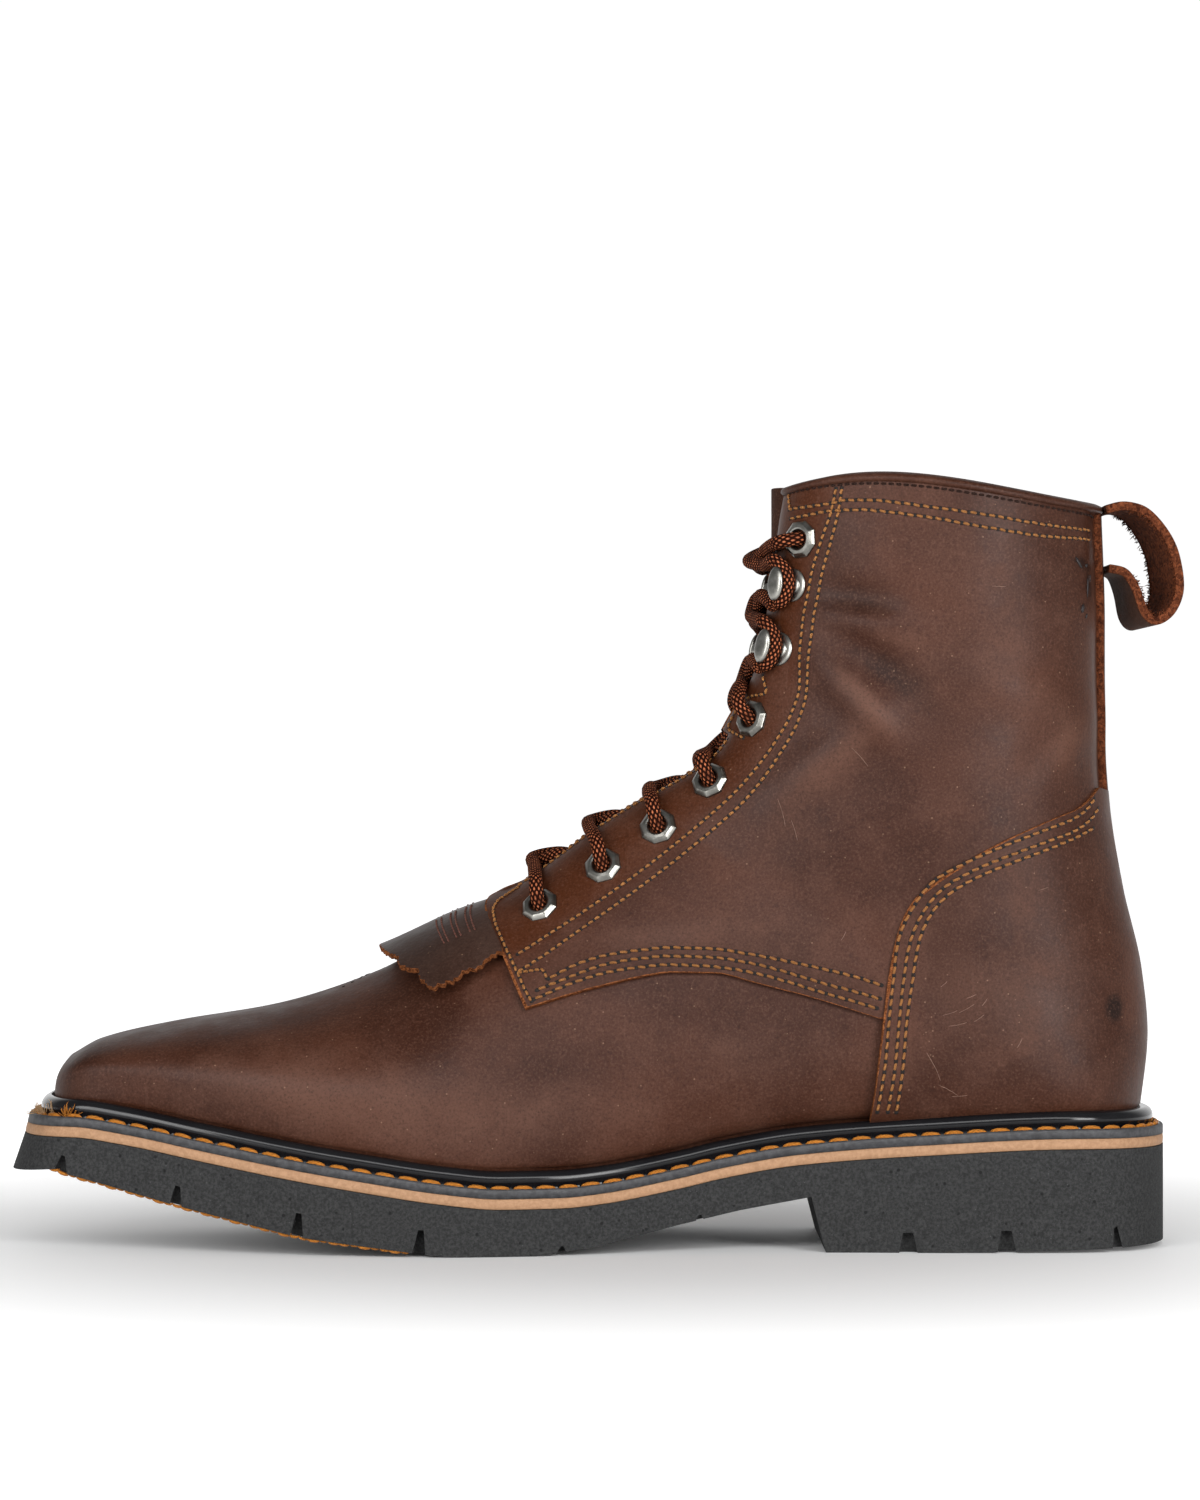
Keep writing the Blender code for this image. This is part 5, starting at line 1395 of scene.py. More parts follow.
def dome(centre, axes, sizes, power=2.0, rows=14, columns=32):
    """Flattened round body: a superellipsoid with half sizes along three directions."""
    tilt = np.linspace(-math.pi / 2, math.pi / 2, rows)[:, None]
    turn = np.linspace(0, 2 * math.pi, columns, endpoint=False)[None, :]
    ring = np.clip(np.cos(tilt), 0, 1) ** (2 / power)
    height = np.sign(np.sin(tilt)) * np.abs(np.sin(tilt)) ** (2 / power)
    parts = (ring * np.cos(turn) * sizes[0], ring * np.sin(turn) * sizes[1], height * sizes[2] + 0 * turn)
    points = centre + sum(part[..., None] * axis for part, axis in zip(parts, axes))
    return points, quads(rows, columns, round_columns=True)


def make_hook(row, side):
    """Round base, a lower boss, a post on the throat's side and an oval cap over the lace."""
    seat, normal, out, along = row_frame(row, side)
    axes = (out, along, normal)
    parts = [dome(seat + normal * 0.2 + out * 0.7, axes, (4.5, 4.5, 0.7), 2.4),
             dome(seat + normal * 0.7 + out * 1.6, axes, (2.2, 2.2, 0.6), 2.2),
             dome(seat + normal * 2.6 - out * 2.6, axes, (1.0, 2.0, 2.6), 3.0),
             dome(seat + normal * 5.2 - out * 0.9, axes, (2.5, 4.6, 0.9), 2.5)]
    points, faces = joined(parts)
    name = f"hook_{SIDES[side]}_{row + 1}"
    return piece(name + "_metal", points, faces, ["nickel"], [name], "nickel", True, True)


hardware = [(make_hook if row + 1 in HOOK_ROWS else make_eyelet)(row, side)
            for side in SIDES for row in range(len(row_v))]
print("eyelets and hooks:", len(hardware))

# %% Lace
LACE_RADIUS, LACE_STEP = 1.85, 0.8
OVER_EDGE, UNDER_EDGE = 0.42, 0.80


def through(knots, steps):
    """Smooth path: a centripetal-like cubic through the knots, evenly respaced by length."""
    knots = np.asarray(knots)
    reach = np.concatenate(((0,), np.cumsum(np.linalg.norm(np.diff(knots, axis=0), axis=1) ** 0.6)))
    slope = np.gradient(knots, reach, axis=0)
    t = np.linspace(0, reach[-1], 400)
    k = np.clip(np.searchsorted(reach, t, side="right") - 1, 0, len(knots) - 2)
    step = (reach[k + 1] - reach[k])[:, None]
    s = ((t - reach[k])[:, None]) / step
    line = ((1 + 2 * s) * (1 - s) ** 2 * knots[k] + s * (1 - s) ** 2 * step * slope[k]
            + s * s * (3 - 2 * s) * knots[k + 1] + s * s * (s - 1) * step * slope[k + 1])
    length = np.concatenate(((0,), np.cumsum(np.linalg.norm(np.diff(line, axis=0), axis=1))))
    even = np.linspace(0, length[-1], steps or int(length[-1] / LACE_STEP))
    return np.stack([np.interp(even, length, line[:, k]) for k in range(3)], axis=-1)


def strand(path, radius, sides=14):
    """Tube round a path, with a UV map in mm: rings in frames on one fixed direction, and the twist
    that those frames pick up along the path is summed and taken off again."""
    tangent = unit(np.gradient(path, axis=0))
    reference = np.array((0.31, 0.23, 0.92))
    across = unit(np.cross(tangent, reference))
    over = np.cross(across, tangent)
    angle = np.linspace(0, 2 * math.pi, sides + 1)
    turn = np.arctan2((across[1:] * over[:-1]).sum(-1), (across[1:] * across[:-1]).sum(-1))
    place = angle[None, :] - np.concatenate(((0,), np.cumsum(turn)))[:, None]
    ends = np.minimum(np.arange(len(path)), np.arange(len(path))[::-1])
    swell = radius * np.clip(np.sqrt(np.clip(ends / 2.5, 0, 1)), 0.05, 1)
    ring = np.cos(place)[..., None] * across[:, None, :] + np.sin(place)[..., None] * over[:, None, :]
    grid = path[:, None, :] + ring * swell[:, None, None]
    length = np.concatenate(((0,), np.cumsum(np.linalg.norm(np.diff(path, axis=0), axis=1))))
    uv = np.stack(np.broadcast_arrays(length[:, None], angle[None, :]), axis=-1)
    return grid, quads(len(path), sides + 1), uv


def bundle(name, tubes, finish, replaces=(), slot=None):
    """Several strands as one piece."""
    points, faces = joined([(grid, face) for grid, face, _ in tubes])
    uv = np.concatenate([place.reshape(-1, 2) for _, _, place in tubes])
    return piece(name, points, faces, [finish], replaces, slot, uv=uv)


def hook_turn(row, side, part):
    """Lace round a hook, in the hook's frame: in from below, under the cap, out above."""
    seat, normal, out, along = row_frame(row, side)
    places = {"in": (-6.2, -2.4, 2.7), "low": (-3.4, 0.2, 2.5), "side": (0.0, 1.0, 2.4),
              "high": (3.4, 0.0, 2.6), "away": (6.0, -3.2, 3.3)}[part]
    return seat + along * places[0] + out * places[1] + normal * places[2]


def start_knots(row, side):
    """Start of a strand: round its hook, or out of its eyelet and over towards the throat."""
    if row + 1 in HOOK_ROWS:
        return [hook_turn(row, side, part) for part in ("in", "low", "side", "high", "away")]
    seat, normal, out, along = row_frame(row, side)
    return [seat - normal * 3.2 + out * 0.3, seat - normal * 0.2,
            seat + normal * 2.5 - out * 0.9 + along * 0.9, seat + normal * 3.5 - out * 3.3 + along * 3.0]


def crossing_knots(row, side):
    """Over the near edge, across the middle, and down at the far edge of the next row."""
    here, there = row_v[row], row_v[row + 1]
    above = upward(0.5 * (here + there))
    near = here + OVER_EDGE * (there - here)
    far = here + UNDER_EDGE * (there - here)
    rise, edge_rise = LACE_ROWS["rise"][row], LACE_ROWS["edge_rise"][row]
    knots = [bridge(near, side * throat_half(near)) + above * edge_rise,
             bridge(0.5 * (here + there), 0.0) + above * (rise - side * 1.1)]
    if row + 2 in HOOK_ROWS:
        return knots + [bridge(far, -side * throat_half(far) * 0.8) + above * (rise * 0.6 + 1.5),
                        hook_turn(row + 1, -side, "in")]
    if row + 2 == len(row_v):
        seat, normal, out, along = row_frame(row + 1, -side)
        return knots + [bridge(far, -side * throat_half(far) * 0.9) + above * 4.2,
                        seat + normal * 3.4 - out * 3.4 - along * 0.6, seat + normal * 2.0 - out * 0.4,
                        seat - normal * 3.0]
    return knots + [bridge(far, -side * throat_half(far) * 0.72) + above * (rise * 0.4),
                    bridge(far + 0.012, -side * (throat_half(far) + 1.5)) - above * 2.4,
                    bridge(far + 0.016, -side * (throat_half(far) + 4.0)) - above * 3.2]


def make_lace(row):
    """Both strands that leave a row, as one piece."""
    paths = [through(start_knots(row, side) + crossing_knots(row, side), None) for side in SIDES]
    tubes = [strand(path, LACE_RADIUS) for path in paths]
    return bundle(f"lace_row_{row + 1}", tubes, "lace_braid", [f"lace_cross_{row + 1}"], "lace_braid")


laces = [make_lace(row) for row in range(len(row_v) - 1)]
print("lace faces:", sum(len(item.data.polygons) for item in laces))

# %% [markdown]
# ## Stitches
# Sewing is what makes panels read as leather work: every row is a chain of short golden stitches that dip
# into needle holes.  The holes are flat dark lenses wider than the thread, painted shade of the holes and of
# the groove along each row.  A texture could draw the stitches, but real ones catch the light and stand proud
# of the edge.  One small template of thirty-four faces is laid along each row at even steps, all rows of a
# side in one mesh.

# %% Stitch and needle hole
RING = 6


def stitch_template():
    """Thread between two holes, in units of its half length and its radius: it swells and arches in
    the middle and dives at both ends."""
    x = np.array((-1.0, -0.74, -0.3, 0.3, 0.74, 1.0))
    girth = np.array((0.40, 0.86, 1.0, 1.0, 0.86, 0.40))
    rise = np.array((-0.75, 0.05, 0.40, 0.40, 0.05, -0.75))
    angle = np.arange(RING) * 2 * math.pi / RING
    across = girth[:, None] * np.cos(angle)
    height = girth[:, None] * np.sin(angle) + rise[:, None]
    points = np.stack((np.broadcast_to(x[:, None], across.shape), across, height), axis=-1).reshape(-1, 3)
    last = (len(x) - 1) * RING
    ends = np.array(((3, 2, 1, 0), (5, 4, 3, 0), (last, last + 1, last + 2, last + 3),
                     (last, last + 3, last + 4, last + 5)))
    faces = np.concatenate((quads(len(x), RING, round_columns=True), ends))
    uv = np.stack((points[:, 0], np.tile(angle, len(x))), axis=-1)
    return points, faces, uv


def hole_template():
    """Needle hole: a flat dark lens, wider across than it is high: painted shade of the hole."""
    angle = np.arange(RING) * 2 * math.pi / RING
    ring = np.stack((np.cos(angle), np.sin(angle), np.zeros(RING)), axis=-1)
    points = np.concatenate((ring, ((0.0, 0.0, 0.25), (0.0, 0.0, -0.6))))
    k = np.arange(RING)
    top = np.stack((k, (k + 1) % RING, np.full(RING, RING)), axis=-1)
    return points, np.concatenate((top, np.stack(((k + 1) % RING, k, np.full(RING, RING + 1)), axis=-1)))


STITCH, STITCH_FACES, STITCH_UV = stitch_template()
HOLE, HOLE_FACES = hole_template()


def laid(template, faces, centres, along, normal, sizes):
    """Copies of a template in the frames of a row: sizes scale it along, across and up."""
    across = np.cross(normal, along)
    local = template * np.asarray(sizes)
    points = (centres[:, None, :] + local[None, :, :1] * along[:, None, :]
              + local[None, :, 1:2] * across[:, None, :] + local[None, :, 2:] * normal[:, None, :])
    step = np.arange(len(centres))[:, None, None] * len(template)
    return points.reshape(-1, 3), (faces[None] + step).reshape(-1, faces.shape[1])


def respaced(points, normal, pitch, shift=0.5):
    """Even places along a line: centres, directions and normals."""
    length = np.concatenate(((0,), np.cumsum(np.linalg.norm(np.diff(points, axis=0), axis=1))))
    count = max(1, int(round(length[-1] / pitch)))
    place = (np.arange(count + (shift == 0.0)) + shift) / count * length[-1]
    step = 0.3 * length[-1] / count

    def at(where):
        return np.stack([np.interp(where, length, points[:, k]) for k in range(3)], axis=-1)

    along = unit(at(place + step) - at(place - step))
    up = np.stack([np.interp(place, length, normal[:, k]) for k in range(3)], axis=-1)
    up = unit(up - along * np.sum(up * along, axis=-1, keepdims=True))
    return at(place), along, up


def sewn(name, rows, finish):
    """Rows of laid stitches as one piece, with the thread's own UV map on each stitch."""
    points, faces = joined(rows)
    return piece(name, points, faces, [finish], uv=np.tile(STITCH_UV, (len(points) // len(STITCH), 1)))


print("faces of one stitch:", len(STITCH_FACES), "and of one hole:", len(HOLE_FACES))

# %% Rows on the panels
SEWN = {
    "eyestay_inner": ("quarter", 2.05, EYESTAY),
    "eyestay_outer": ("quarter", 2.05, table(("u", "z"), (
        (136.2, 73.1), (142.4, 77.0), (154.6, 85.6), (168.8, 95.8), (184.6, 108.2), (198.5, 120.9),
        (205.8, 130.8), (211.2, 140.9), (213.2, 147.9), (214.2, 158.9), (215.5, 169.0), (216.5, 176.2),
        (219.9, 188.3), (221.6, 196.2), (222.4, 202.0)))),
    "front_edge": ("quarter", 2.1, table(("u", "z"), (
        (139.9, 65.9), (138.4, 68.3), (135.8, 74.0), (133.0, 79.7), (130.9, 84.8), (130.5, 87.5),
        (131.3, 89.6), (134.0, 92.2), (137.0, 94.4)))),
    "lower_first": ("quarter", 2.9, table(("u", "z"), (
        (144.4, 71.7), (151.4, 75.3), (159.4, 77.9), (168.6, 79.4), (176.5, 80.1), (186.6, 79.9),
        (196.7, 78.7), (206.7, 76.9), (216.7, 74.8), (226.2, 72.5), (231.8, 70.6)))),
    "lower_second": ("quarter", 2.9, table(("u", "z"), (
        (141.4, 68.8), (151.4, 72.8), (159.4, 75.6), (168.5, 77.2), (176.5, 77.9), (186.6, 77.7),
        (196.7, 76.4), (206.7, 74.0), (215.3, 71.5), (226.2, 68.6), (231.4, 67.1)))),
    "lower_third": ("quarter", 2.9, table(("u", "z"), (
        (140.4, 66.4), (151.4, 71.0), (159.4, 73.4), (168.5, 75.0), (176.5, 75.7), (186.6, 75.4),
        (196.7, 74.0), (206.7, 71.6), (215.3, 69.0), (223.6, 66.7), (230.6, 64.7)))),
    "corner_box": ("quarter", 2.0, table(("u", "z"), ((136.1, 73.0), (142.4, 73.9), (143.9, 71.9)))),
    "counter_first": ("counter", 2.85, table(("u", "z"), (
        (230.9, 38.5), (232.7, 49.1), (233.8, 61.1), (235.0, 71.8), (236.6, 82.8), (240.4, 91.3),
        (245.6, 98.1), (254.0, 103.1), (261.4, 106.5), (268.1, 109.2), (275.0, 111.8), (282.0, 114.5),
        (285.6, 117.2), (287.4, 119.6)))),
    "counter_second": ("counter", 2.85, table(("u", "z"), (
        (233.7, 38.5), (235.4, 49.1), (236.5, 61.1), (237.7, 71.8), (239.8, 82.8), (242.9, 89.8),
        (248.3, 96.4), (256.2, 101.2), (265.1, 104.9), (275.0, 108.5), (282.0, 111.1), (286.4, 114.2),
        (288.5, 117.0)))),
    "counter_third": ("counter", 2.85, table(("u", "z"), (
        (236.0, 38.5), (237.5, 49.1), (238.5, 61.1), (240.1, 71.8), (242.1, 82.8), (245.6, 90.3),
        (251.0, 95.8), (258.5, 100.0), (267.4, 103.6), (276.3, 106.9), (282.0, 109.2), (287.1, 111.6)))),
    "collar_upper": ("quarter", 2.5, table(("u", "z"), (
        (209.8, 196.6), (220.4, 198.1), (223.7, 198.8), (230.4, 198.7), (237.2, 197.9), (247.5, 196.5),
        (261.1, 194.5), (275.1, 192.3), (287.0, 191.3)))),
    "collar_lower": ("quarter", 2.5, table(("u", "z"), (
        (210.1, 194.1), (220.3, 196.0), (227.0, 196.2), (233.7, 195.6), (247.5, 193.6), (261.1, 191.2),
        (275.1, 189.3), (287.0, 188.9)))),
    "collar_front": ("quarter", 2.0, table(("u", "z"), ((209.9, 200.8), (210.1, 196.6)))),
}
THROAT_INSET, THROAT_PITCH, TAB_PITCH = 2.6, 2.1, 2.0
ROLL_SEAM_V, ROLL_PITCH = 1.9765, 2.0
THREAD_RADIUS, STITCH_SHARE, STITCH_SLANT, HOLE_SHARE = 0.36, 0.385, 0.13, 0.26


def sewn_line(points, side, surface, steps=300):
    """Points and normals of a row on its panel, from its line in the side view."""
    v, a = address(*seam(points, steps))
    face = quarter_points(v, a, side) if surface == "quarter" else skin(v, a, side, COUNTER_LIFT)
    return face, wall_normal(v, a, side)


def throat_line(side):
    """Row just inside the throat edge: the same distance from it at every v."""
    v = np.linspace(0.72, 1.375, 160)
    a = np.linspace(1, 0.75, 80)
    face = quarter_points(v[:, None] + 0 * a[None, :], a[None, :] + 0 * v[:, None], side)
    length = np.cumsum(np.linalg.norm(np.diff(face, axis=1), axis=-1), axis=1)
    share = a[1 + np.argmin(np.abs(length - THROAT_INSET), axis=1)]
    share = np.convolve(np.pad(share, 6, mode="edge"), np.ones(13) / 13, mode="valid")
    return quarter_points(v, share, side), wall_normal(v, share, side)


def tab_line(side):
    """Row round the corner of the upper tab."""
    knots = np.arange(9.0)
    t = np.linspace(0, knots[-1], 120)
    v = smooth(t, knots, (1.395, 1.399, 1.404, 1.425, 1.455, 1.488, 1.506, 1.527, 1.562))
    a = smooth(t, knots, (0.880, 0.915, 0.948, 0.962, 0.962, 0.952, 0.925, 0.862, 0.898))
    return quarter_points(v, a, side), wall_normal(v, a, side)


def make_stitches(side):
    """All golden rows of a side: one mesh of threads and one of needle holes, dark lenses that paint the
    holes' shade.
    """
    rows = [(*sewn_line(line, side, surface), pitch) for surface, pitch, line in SEWN.values()]
    rows += [(*throat_line(side), THROAT_PITCH), (*tab_line(side), TAB_PITCH)]
    threads, holes = [], []
    for face, normal, pitch in rows:
        centres, along, up = respaced(face, normal, pitch)
        slant = unit(along + STITCH_SLANT * np.cross(up, along) * side)
        size = (STITCH_SHARE * pitch, THREAD_RADIUS, THREAD_RADIUS)
        threads.append(laid(STITCH, STITCH_FACES, centres + up * 0.06, slant, up, size))
        centres, along, up = respaced(face, normal, pitch, 0.0)
        holes.append(laid(HOLE, HOLE_FACES, centres + up * 0.05, along, up, (HOLE_SHARE * pitch, 0.62, 0.34)))
    thread = sewn("stitches_" + SIDES[side], threads, "gold_thread")
    return thread, piece("needle_holes_" + SIDES[side], *joined(holes), ["needle_hole"])


def make_roll_seam(side):
    """Dark row that holds the roll, just under it."""
    a = np.linspace(0.06, 0.985, 260)
    v = np.full(len(a), ROLL_SEAM_V)
    centres, along, up = respaced(quarter_points(v, a, side), wall_normal(v, a, side), ROLL_PITCH)
    row = laid(STITCH, STITCH_FACES, centres + up * 0.05, along, up, (0.8, 0.33, 0.3))
    return sewn("roll_stitches_" + SIDES[side], [row], "dark_thread")


stitches = [item for side in SIDES for item in (*make_stitches(side), make_roll_seam(side))]
print("stitch faces:", [len(item.data.polygons) for item in stitches])

# %% Welt thread
WELT_PITCH = 6.1
WELT_ROW_INSET, WELT_ROW_RISE = 1.95, 2.6


def make_welt_thread():
    """Lock stitches in the channel beside the bead, all round the boot, each a little swollen arch."""
    q, sides = loop_stations(40, 260, 40)
    q, sides = np.append(q, q[0]), np.append(sides, sides[0])
    line = loop_point(q, sides, WELT_ROW_INSET, 0, WELT_ROW_RISE)
    outer = loop_point(q, sides, 0, 0, WELT_ROW_RISE)
    normal = unit(0.45 * unit(outer - line) + np.array((0.0, 0.0, 0.9)))
    centres, along, up = respaced(line, normal, WELT_PITCH)
    lean = unit(along - 0.06 * np.cross(up, along))
    row = laid(STITCH, STITCH_FACES, centres, lean, up, (0.465 * WELT_PITCH, 0.66, 0.66))
    return sewn("welt_stitches", [row], "welt_thread")


welt_stitches = make_welt_thread()
print("welt stitches:", len(welt_stitches.data.polygons) // len(STITCH_FACES))

# %% [markdown]
# ## Small work
# The sole's thread comes out under the raised forefoot, and at the toe corner some of it is frayed.  The
# kiltie is held by short dark rows, the vamp carries an arc of punched holes, and a few scuffs, scratches
# and fibres make the leather look handled.  All of it is laid on surfaces that are functions already.

# %% Thread under the forefoot, loose ends and marks
def make_tread_thread():
    """Ends of the sole's thread along the edge of the raised forefoot, where it clears the floor."""
    parts = []
    for side in SIDES:
        u = np.linspace(14, 108, 400)
        u = u[np.interp(u, *tread_line()) - np.interp(u, TREAD["u"], TREAD["z"]) < 0.05]
        q = (u - WELT_TOE_U) / SOLE_LENGTH
        z = np.interp(u, TREAD["u"], TREAD["z"])
        foot_u = u - TOE_FLARE * toe_share(u)
        line = np.stack((foot_u, side * (plan_half(q, side) - 1.1), z - 0.1), axis=-1)
        normal = np.broadcast_to(np.array((0.0, 0.35 * side, -0.93)), line.shape)
        centres, along, up = respaced(line, normal, 2.7)
        swell = 0.9 + 0.25 * np.sin(np.arange(len(centres)) * 2.4)
        points, faces = laid(STITCH, STITCH_FACES, centres, along, up, (1.75, 0.6, 0.48))
        points = points.reshape(len(centres), -1, 3)
        points = centres[:, None, :] + (points - centres[:, None, :]) * swell[:, None, None]
        parts.append((points, faces))
    return sewn("tread_thread", parts, "welt_thread")


TUFTS = (
    ("loose_thread", "welt_thread", (17.6, -35.4, 36.2), (1.6, 0.8, 0.3), (0.1, -0.45, 1.0), (2.0, 4.6),
     0.16, 14),
    ("loose_fluff", "tan_fluff", (10.8, -31.3, 36.9), (2.6, 2.0, 0.4), (-0.5, -0.35, 0.6), (1.6, 3.8),
     0.11, 34))


def make_tuft(name, finish, centre, spread, way, lengths, radius, count):
    """Frayed ends of the thread at the toe corner: short curled strands about a common direction."""
    chance = np.random.default_rng(11)
    tubes = []
    for _ in range(count):
        start = np.array(centre) + np.array(spread) * chance.uniform(-1, 1, 3)
        heading = unit(np.array(way) + 0.55 * chance.normal(size=3)) * chance.uniform(*lengths)
        curl = 0.3 * np.cross(heading, chance.normal(size=3))
        knots = [start - 0.1 * heading, start + 0.4 * heading + 0.5 * curl, start + 0.8 * heading + curl,
                 start + heading + 0.4 * curl]
        tubes.append(strand(through(knots, 8), radius, 5))
    return bundle(name, tubes, finish)


SCUFFS = table(("u", "z", "turn", "long", "wide"), (
    (283.6, 182.6, -28.0, 2.3, 0.6), (285.8, 182.0, 10.0, 0.9, 0.5), (286.2, 176.4, 78.0, 3.4, 0.46),
    (287.0, 178.6, 70.0, 1.2, 0.4), (284.7, 170.4, 60.0, 1.3, 0.8), (285.8, 168.6, 35.0, 0.9, 0.5)))
SCRATCHES = table(("u", "z", "turn", "long"), (
    (245.8, 49.6, -62.0, 9.0), (249.8, 43.6, -28.0, 6.5), (252.6, 42.2, 4.0, 4.5), (250.0, 63.4, 18.0, 4.5),
    (254.4, 64.6, 30.0, 5.0), (257.6, 62.0, 35.0, 3.5), (252.0, 60.4, 12.0, 5.5), (255.6, 67.8, 24.0, 3.0),
    (259.0, 66.2, 55.0, 2.5), (248.4, 71.0, 40.0, 2.5), (206.4, 116.0, -76.0, 8.0),
    (209.6, 111.4, -74.0, 6.0), (222.0, 83.4, 60.0, 3.0), (226.8, 131.0, -50.0, 7.0),
    (262.4, 176.0, 0.0, 4.0), (274.0, 96.0, 15.0, 3.0), (268.2, 55.4, 62.0, 3.0)))


def panel_face(u, z):
    """Face and normal of the panel that lies outermost at a place in the medial side view."""
    v, a = address(u, z)
    over = (a < np.interp(v, edge_v, edge_a)) & (v < edge_v[-1])
    face = np.where(over[:, None], skin(v, a, MEDIAL, COUNTER_LIFT), quarter_points(v, a, MEDIAL))
    return face, wall_normal(v, a, MEDIAL)


def make_scuffs():
    """Dark rub marks beside the back strip: flat lenses on the leather."""
    face, up = panel_face(SCUFFS["u"], SCUFFS["z"])
    turn = np.radians(SCUFFS["turn"])
    along = np.stack((np.cos(turn), np.zeros_like(turn), np.sin(turn)), axis=-1)
    along = unit(along - up * np.sum(along * up, axis=-1, keepdims=True))
    parts = [laid(HOLE, HOLE_FACES, face[k:k + 1] + up[k:k + 1] * 0.08, along[k:k + 1], up[k:k + 1],
                  (SCUFFS["long"][k], SCUFFS["wide"][k], 0.4)) for k in range(len(turn))]
    return piece("scuff_marks", *joined(parts), ["dark_scuff"])


def make_scratches():
    """Hair-thin pale scratches: strands that lie half sunk in the leather."""
    tubes = []
    for u, z, turn, long in zip(*SCRATCHES.values()):
        t = np.linspace(-0.5, 0.5, 9)
        bend = 0.12 * long * (t * t - 0.08) * np.sign(turn + 0.5)
        cosine, sine = math.cos(math.radians(turn)), math.sin(math.radians(turn))
        face, up = panel_face(u + t * long * cosine - bend * sine, z + t * long * sine + bend * cosine)
        tubes.append(strand(through(face - 0.03 * up, 14), 0.1, 5))
    return bundle("pale_scratches", tubes, "pale_scratch")


FUZZ_COUNT, FUZZ_RADIUS = 380, 0.16


def make_loop_fuzz():
    """Loose fibres of the flesh side along the strap's edges: short bent strands that point inwards."""
    chance = np.random.default_rng(5)
    tubes = []
    for edge in (-1.0, 1.0):
        path, normal = loop_path(np.array((edge,)))
        for _ in range(FUZZ_COUNT):
            k = chance.integers(12, 78)
            inward, way = normal[k], path[k + 1, 0] - path[k, 0]
            flat = path[k, 0] + inward * LOOP_THICK * chance.uniform(0.2, 0.5) + way * chance.uniform()
            start = np.array((flat[0], edge * LOOP_WIDTH / 2 * chance.uniform(0.9, 1.0), flat[1]))
            aim = inward * chance.uniform(0.3, 1.0) + unit(way) * chance.normal() * 0.6
            heading = unit(np.array((aim[0], 0.5 * edge * chance.normal(), aim[1])))
            heading = heading * chance.uniform(0.5, 1.5)
            bend = 0.35 * np.cross(heading, chance.normal(size=3))
            knots = [start, start + 0.5 * heading + 0.3 * bend, start + heading + bend]
            tubes.append(strand(through(knots, 5), FUZZ_RADIUS, 3))
    return bundle("loop_fuzz", tubes, "suede")


KILTIE_SHARES = (0.0, 0.14, 0.40, 0.54, 0.84, 1.0)
KILTIE_ROWS = tuple((0.5635 + 0.0655 * share, 0.550 + 0.0505 * share) for share in KILTIE_SHARES)
PINHOLES = 9


def make_kiltie_rows():
    """Short rows of dark thread across each flank of the kiltie."""
    parts = []
    for side in SIDES:
        for upper_v, lower_v in KILTIE_ROWS:
            y = side * np.linspace(9.0, 24.0, 60)
            place = np.linspace(upper_v, lower_v, 60)
            face = kiltie_points(place, y)
            normal = np.cross(kiltie_points(place + 0.01, y) - face, np.gradient(face, axis=0)) * side
            centres, along, up = respaced(face, unit(normal), 1.55)
            parts.append(laid(STITCH, STITCH_FACES, centres + up * 0.08, along, up, (0.52, 0.27, 0.27)))
    return sewn("kiltie_stitches", parts, "brown_thread")


def make_pinholes():
    """Small punched holes on the ridge of the vamp, in front of the kiltie, drawn as dark lenses: painted
    shade of the holes.
    """
    y = np.linspace(-9, 9, PINHOLES)
    v = 0.405 + 0.028 * np.cos(y / 9 * math.pi / 2 * 1.2)
    face = bridge(v, y)
    up = unit(np.stack((np.full(PINHOLES, -0.35), y / 30, np.full(PINHOLES, 0.93)), axis=-1))
    along = unit(np.cross(np.broadcast_to(np.array((0.0, 1.0, 0.0)), up.shape), up))
    holes = laid(HOLE, HOLE_FACES, face + up * 0.1, along, up, (0.5, 0.5, 0.25))
    return piece("vamp_pinholes", *holes, ["needle_hole"])


small_work = [make_tread_thread(), *(make_tuft(*tuft) for tuft in TUFTS), make_kiltie_rows(),
              make_pinholes(), make_scuffs(), make_scratches(), make_loop_fuzz()]
print("small sewn pieces:", [item.name for item in small_work])

# %% [markdown]
# ## Camera, floor and light
# The studio camera looks level at the boot's medial side through a long lens.  The floor is a white plane lit
# by large soft boxes, and the white behind the boot is the sky.

# %% Camera
PIXEL = 0.2705
FRAME_WIDTH, AIM_PIXEL = 1200, 583
CAMERA_AWAY, CAMERA_HEIGHT, SENSOR = 1.5, 0.1328, 36.0
camera_data = bpy.data.cameras.new("camera")
camera_data.sensor_width = SENSOR
camera_data.sensor_fit = "HORIZONTAL"
camera_data.lens = SENSOR * CAMERA_AWAY / (FRAME_WIDTH * PIXEL * MM)
camera_data.clip_end = 20.0
camera = bpy.data.objects.new("camera", camera_data)
camera.location = (ORIGIN[0] + AIM_PIXEL * PIXEL * MM, ORIGIN[1] - CAMERA_AWAY, CAMERA_HEIGHT)
camera.rotation_euler = (math.pi / 2, 0.0, 0.0)
bpy.context.scene.collection.objects.link(camera)
bpy.context.scene.camera = camera
print("lens:", round(camera_data.lens, 1), "mm")

# %% Floor and light
SIDE_LEVEL, TOP_LEVEL, BACK_LEVEL = 0.32, 0.6, 1.02
GLOW_FORWARD, GLOW_REACH, FAR_GLOW = 0.03, (0.03, 0.5), 0.78
FLOOR_HALF = 8


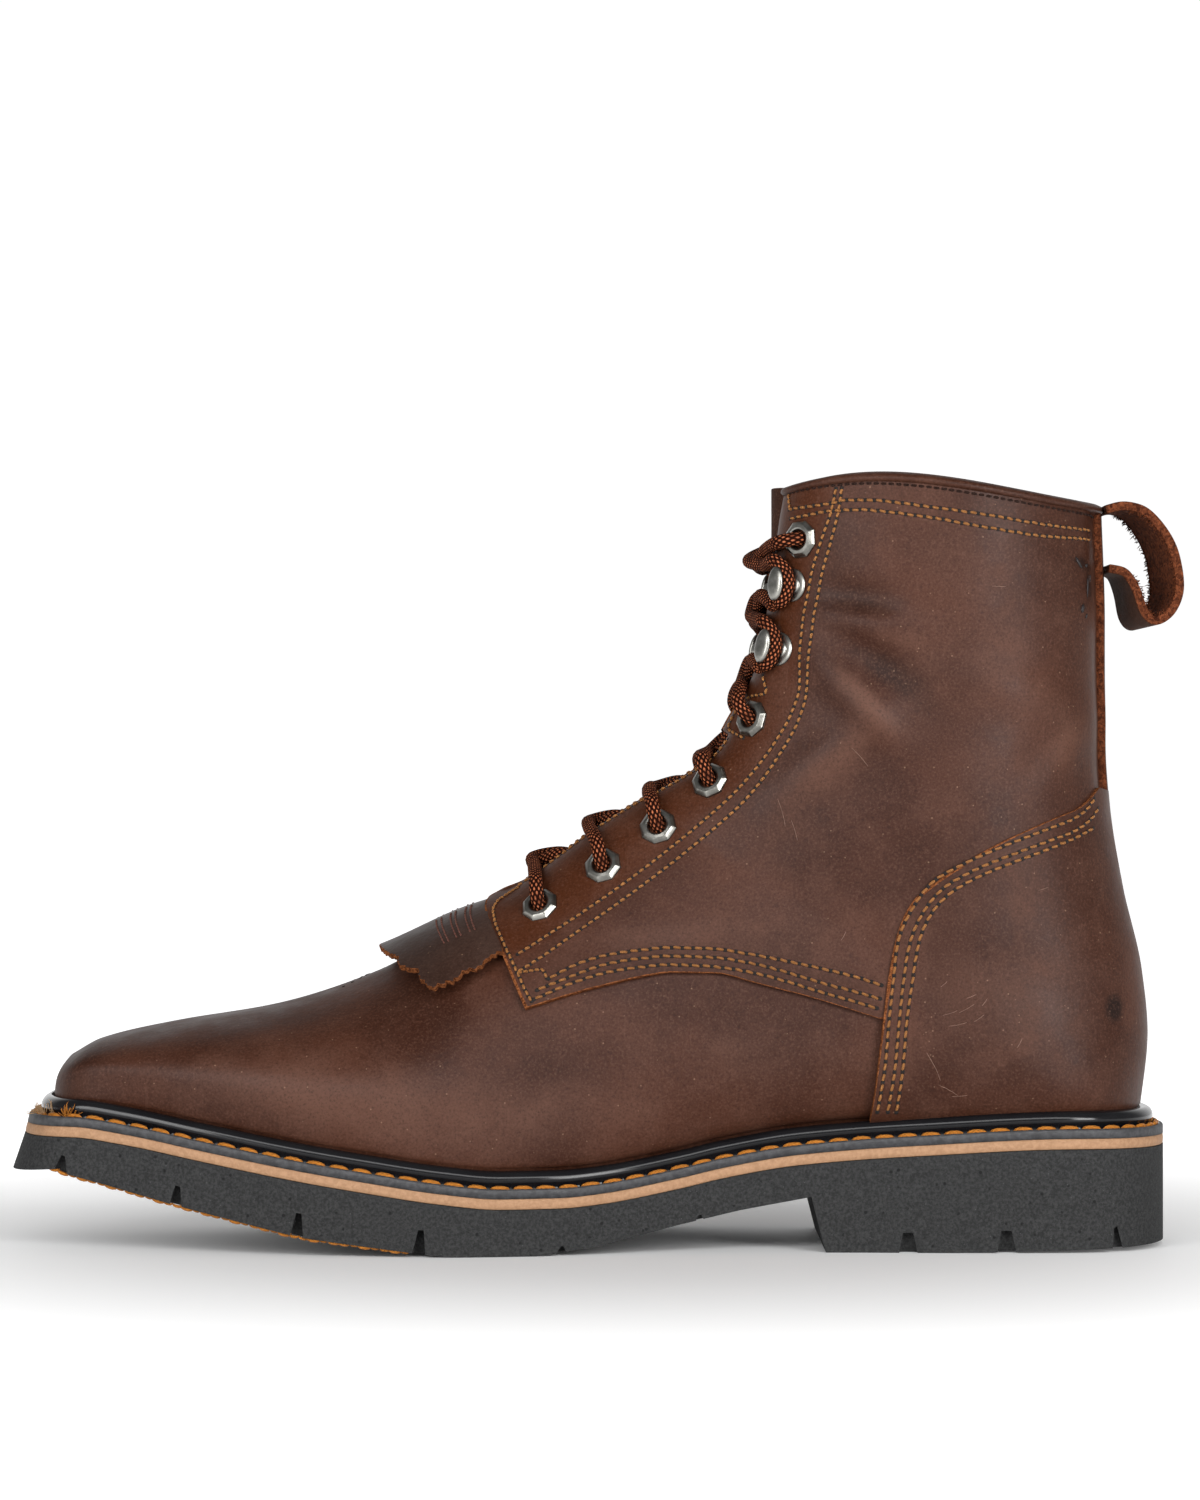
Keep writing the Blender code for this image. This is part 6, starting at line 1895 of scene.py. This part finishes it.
def soft_box(name, place, aim, size, power):
    """Rectangular soft light at a place, turned to its aim: a tilt from the vertical, then a heading."""
    data = bpy.data.lights.new(name, "AREA")
    data.shape = "RECTANGLE"
    data.size, data.size_y = size
    data.energy = power
    box = bpy.data.objects.new(name, data)
    box.location = place
    way = np.array(aim) - np.array(place)
    tilt, heading = math.acos(-way[2] / np.linalg.norm(way)), math.atan2(way[1], way[0])
    box.rotation_euler = (tilt, 0.0, heading - math.pi / 2)
    bpy.context.scene.collection.objects.link(box)


def make_floor():
    """White paper floor that glows a little more the farther it lies from the boot: the glow is painted
    light, which keeps the far floor white while the shade next to the boot stays dark.
    """
    paper = Recipe("white_sweep")
    paper.set(Base_Color=(0.93, 0.93, 0.93, 1.0), Roughness=0.6, Specular_IOR_Level=0.1,
              Emission_Color=(1.0, 1.0, 1.0, 1.0))
    centred = paper.stretched((0.95, 1.0, 0.0))
    centred.node.inputs["Location"].default_value = (0.0, GLOW_FORWARD, 0.0)
    away = paper.nodes.new("ShaderNodeVectorMath")
    away.operation = "LENGTH"
    paper.links.new(centred, away.inputs[0])
    # Painted light: the floor's own glow, nought near the boot and rising away from it.
    glow = graded(paper.nodes, paper.links, away.outputs["Value"], *GLOW_REACH, 0.0, FAR_GLOW)
    paper.links.new(glow, paper.shader.inputs["Emission Strength"])
    mesh = bpy.data.meshes.new("floor")
    corners = [(x * FLOOR_HALF, y * FLOOR_HALF, 0) for x, y in ((-1, -1), (1, -1), (1, 1), (-1, 1))]
    mesh.from_pydata(corners, [], [(0, 1, 2, 3)])
    mesh.materials.append(FINISH["white_sweep"])
    floor = bpy.data.objects.new("floor", mesh)
    bpy.context.scene.collection.objects.link(floor)


def make_sky():
    """Studio surround: white behind the boot, dimmer all round and overhead."""
    world = bpy.data.worlds.new("studio")
    bpy.context.scene.world = world
    world.use_nodes = True
    nodes, links = world.node_tree.nodes, world.node_tree.links
    split = nodes.new("ShaderNodeSeparateXYZ")
    links.new(nodes.new("ShaderNodeTexCoord").outputs["Generated"], split.inputs["Vector"])
    behind = graded(nodes, links, split.outputs["Y"], 0.45, 0.88, SIDE_LEVEL, BACK_LEVEL)
    above = graded(nodes, links, split.outputs["Z"], 0.25, 0.8, 1.0, TOP_LEVEL)
    both = nodes.new("ShaderNodeMath")
    both.operation = "MULTIPLY"
    links.new(behind, both.inputs[0])
    links.new(above, both.inputs[1])
    links.new(both.outputs["Value"], nodes["Background"].inputs["Strength"])
    nodes["Background"].inputs["Color"].default_value = (1.0, 1.0, 1.0, 1.0)


make_floor()
make_sky()
soft_box("key_strip", (0.0, -1.7, 0.95), (0.0, 0.0, 0.08), (2.6, 0.5), 24.0)
soft_box("left_box", (-1.2, -1.6, 0.42), (0.0, 0.0, 0.1), (0.8, 0.8), 16.0)
soft_box("right_box", (1.2, -1.6, 0.42), (0.0, 0.0, 0.1), (0.8, 0.8), 27.0)
bpy.context.scene.view_settings.view_transform = "Standard"
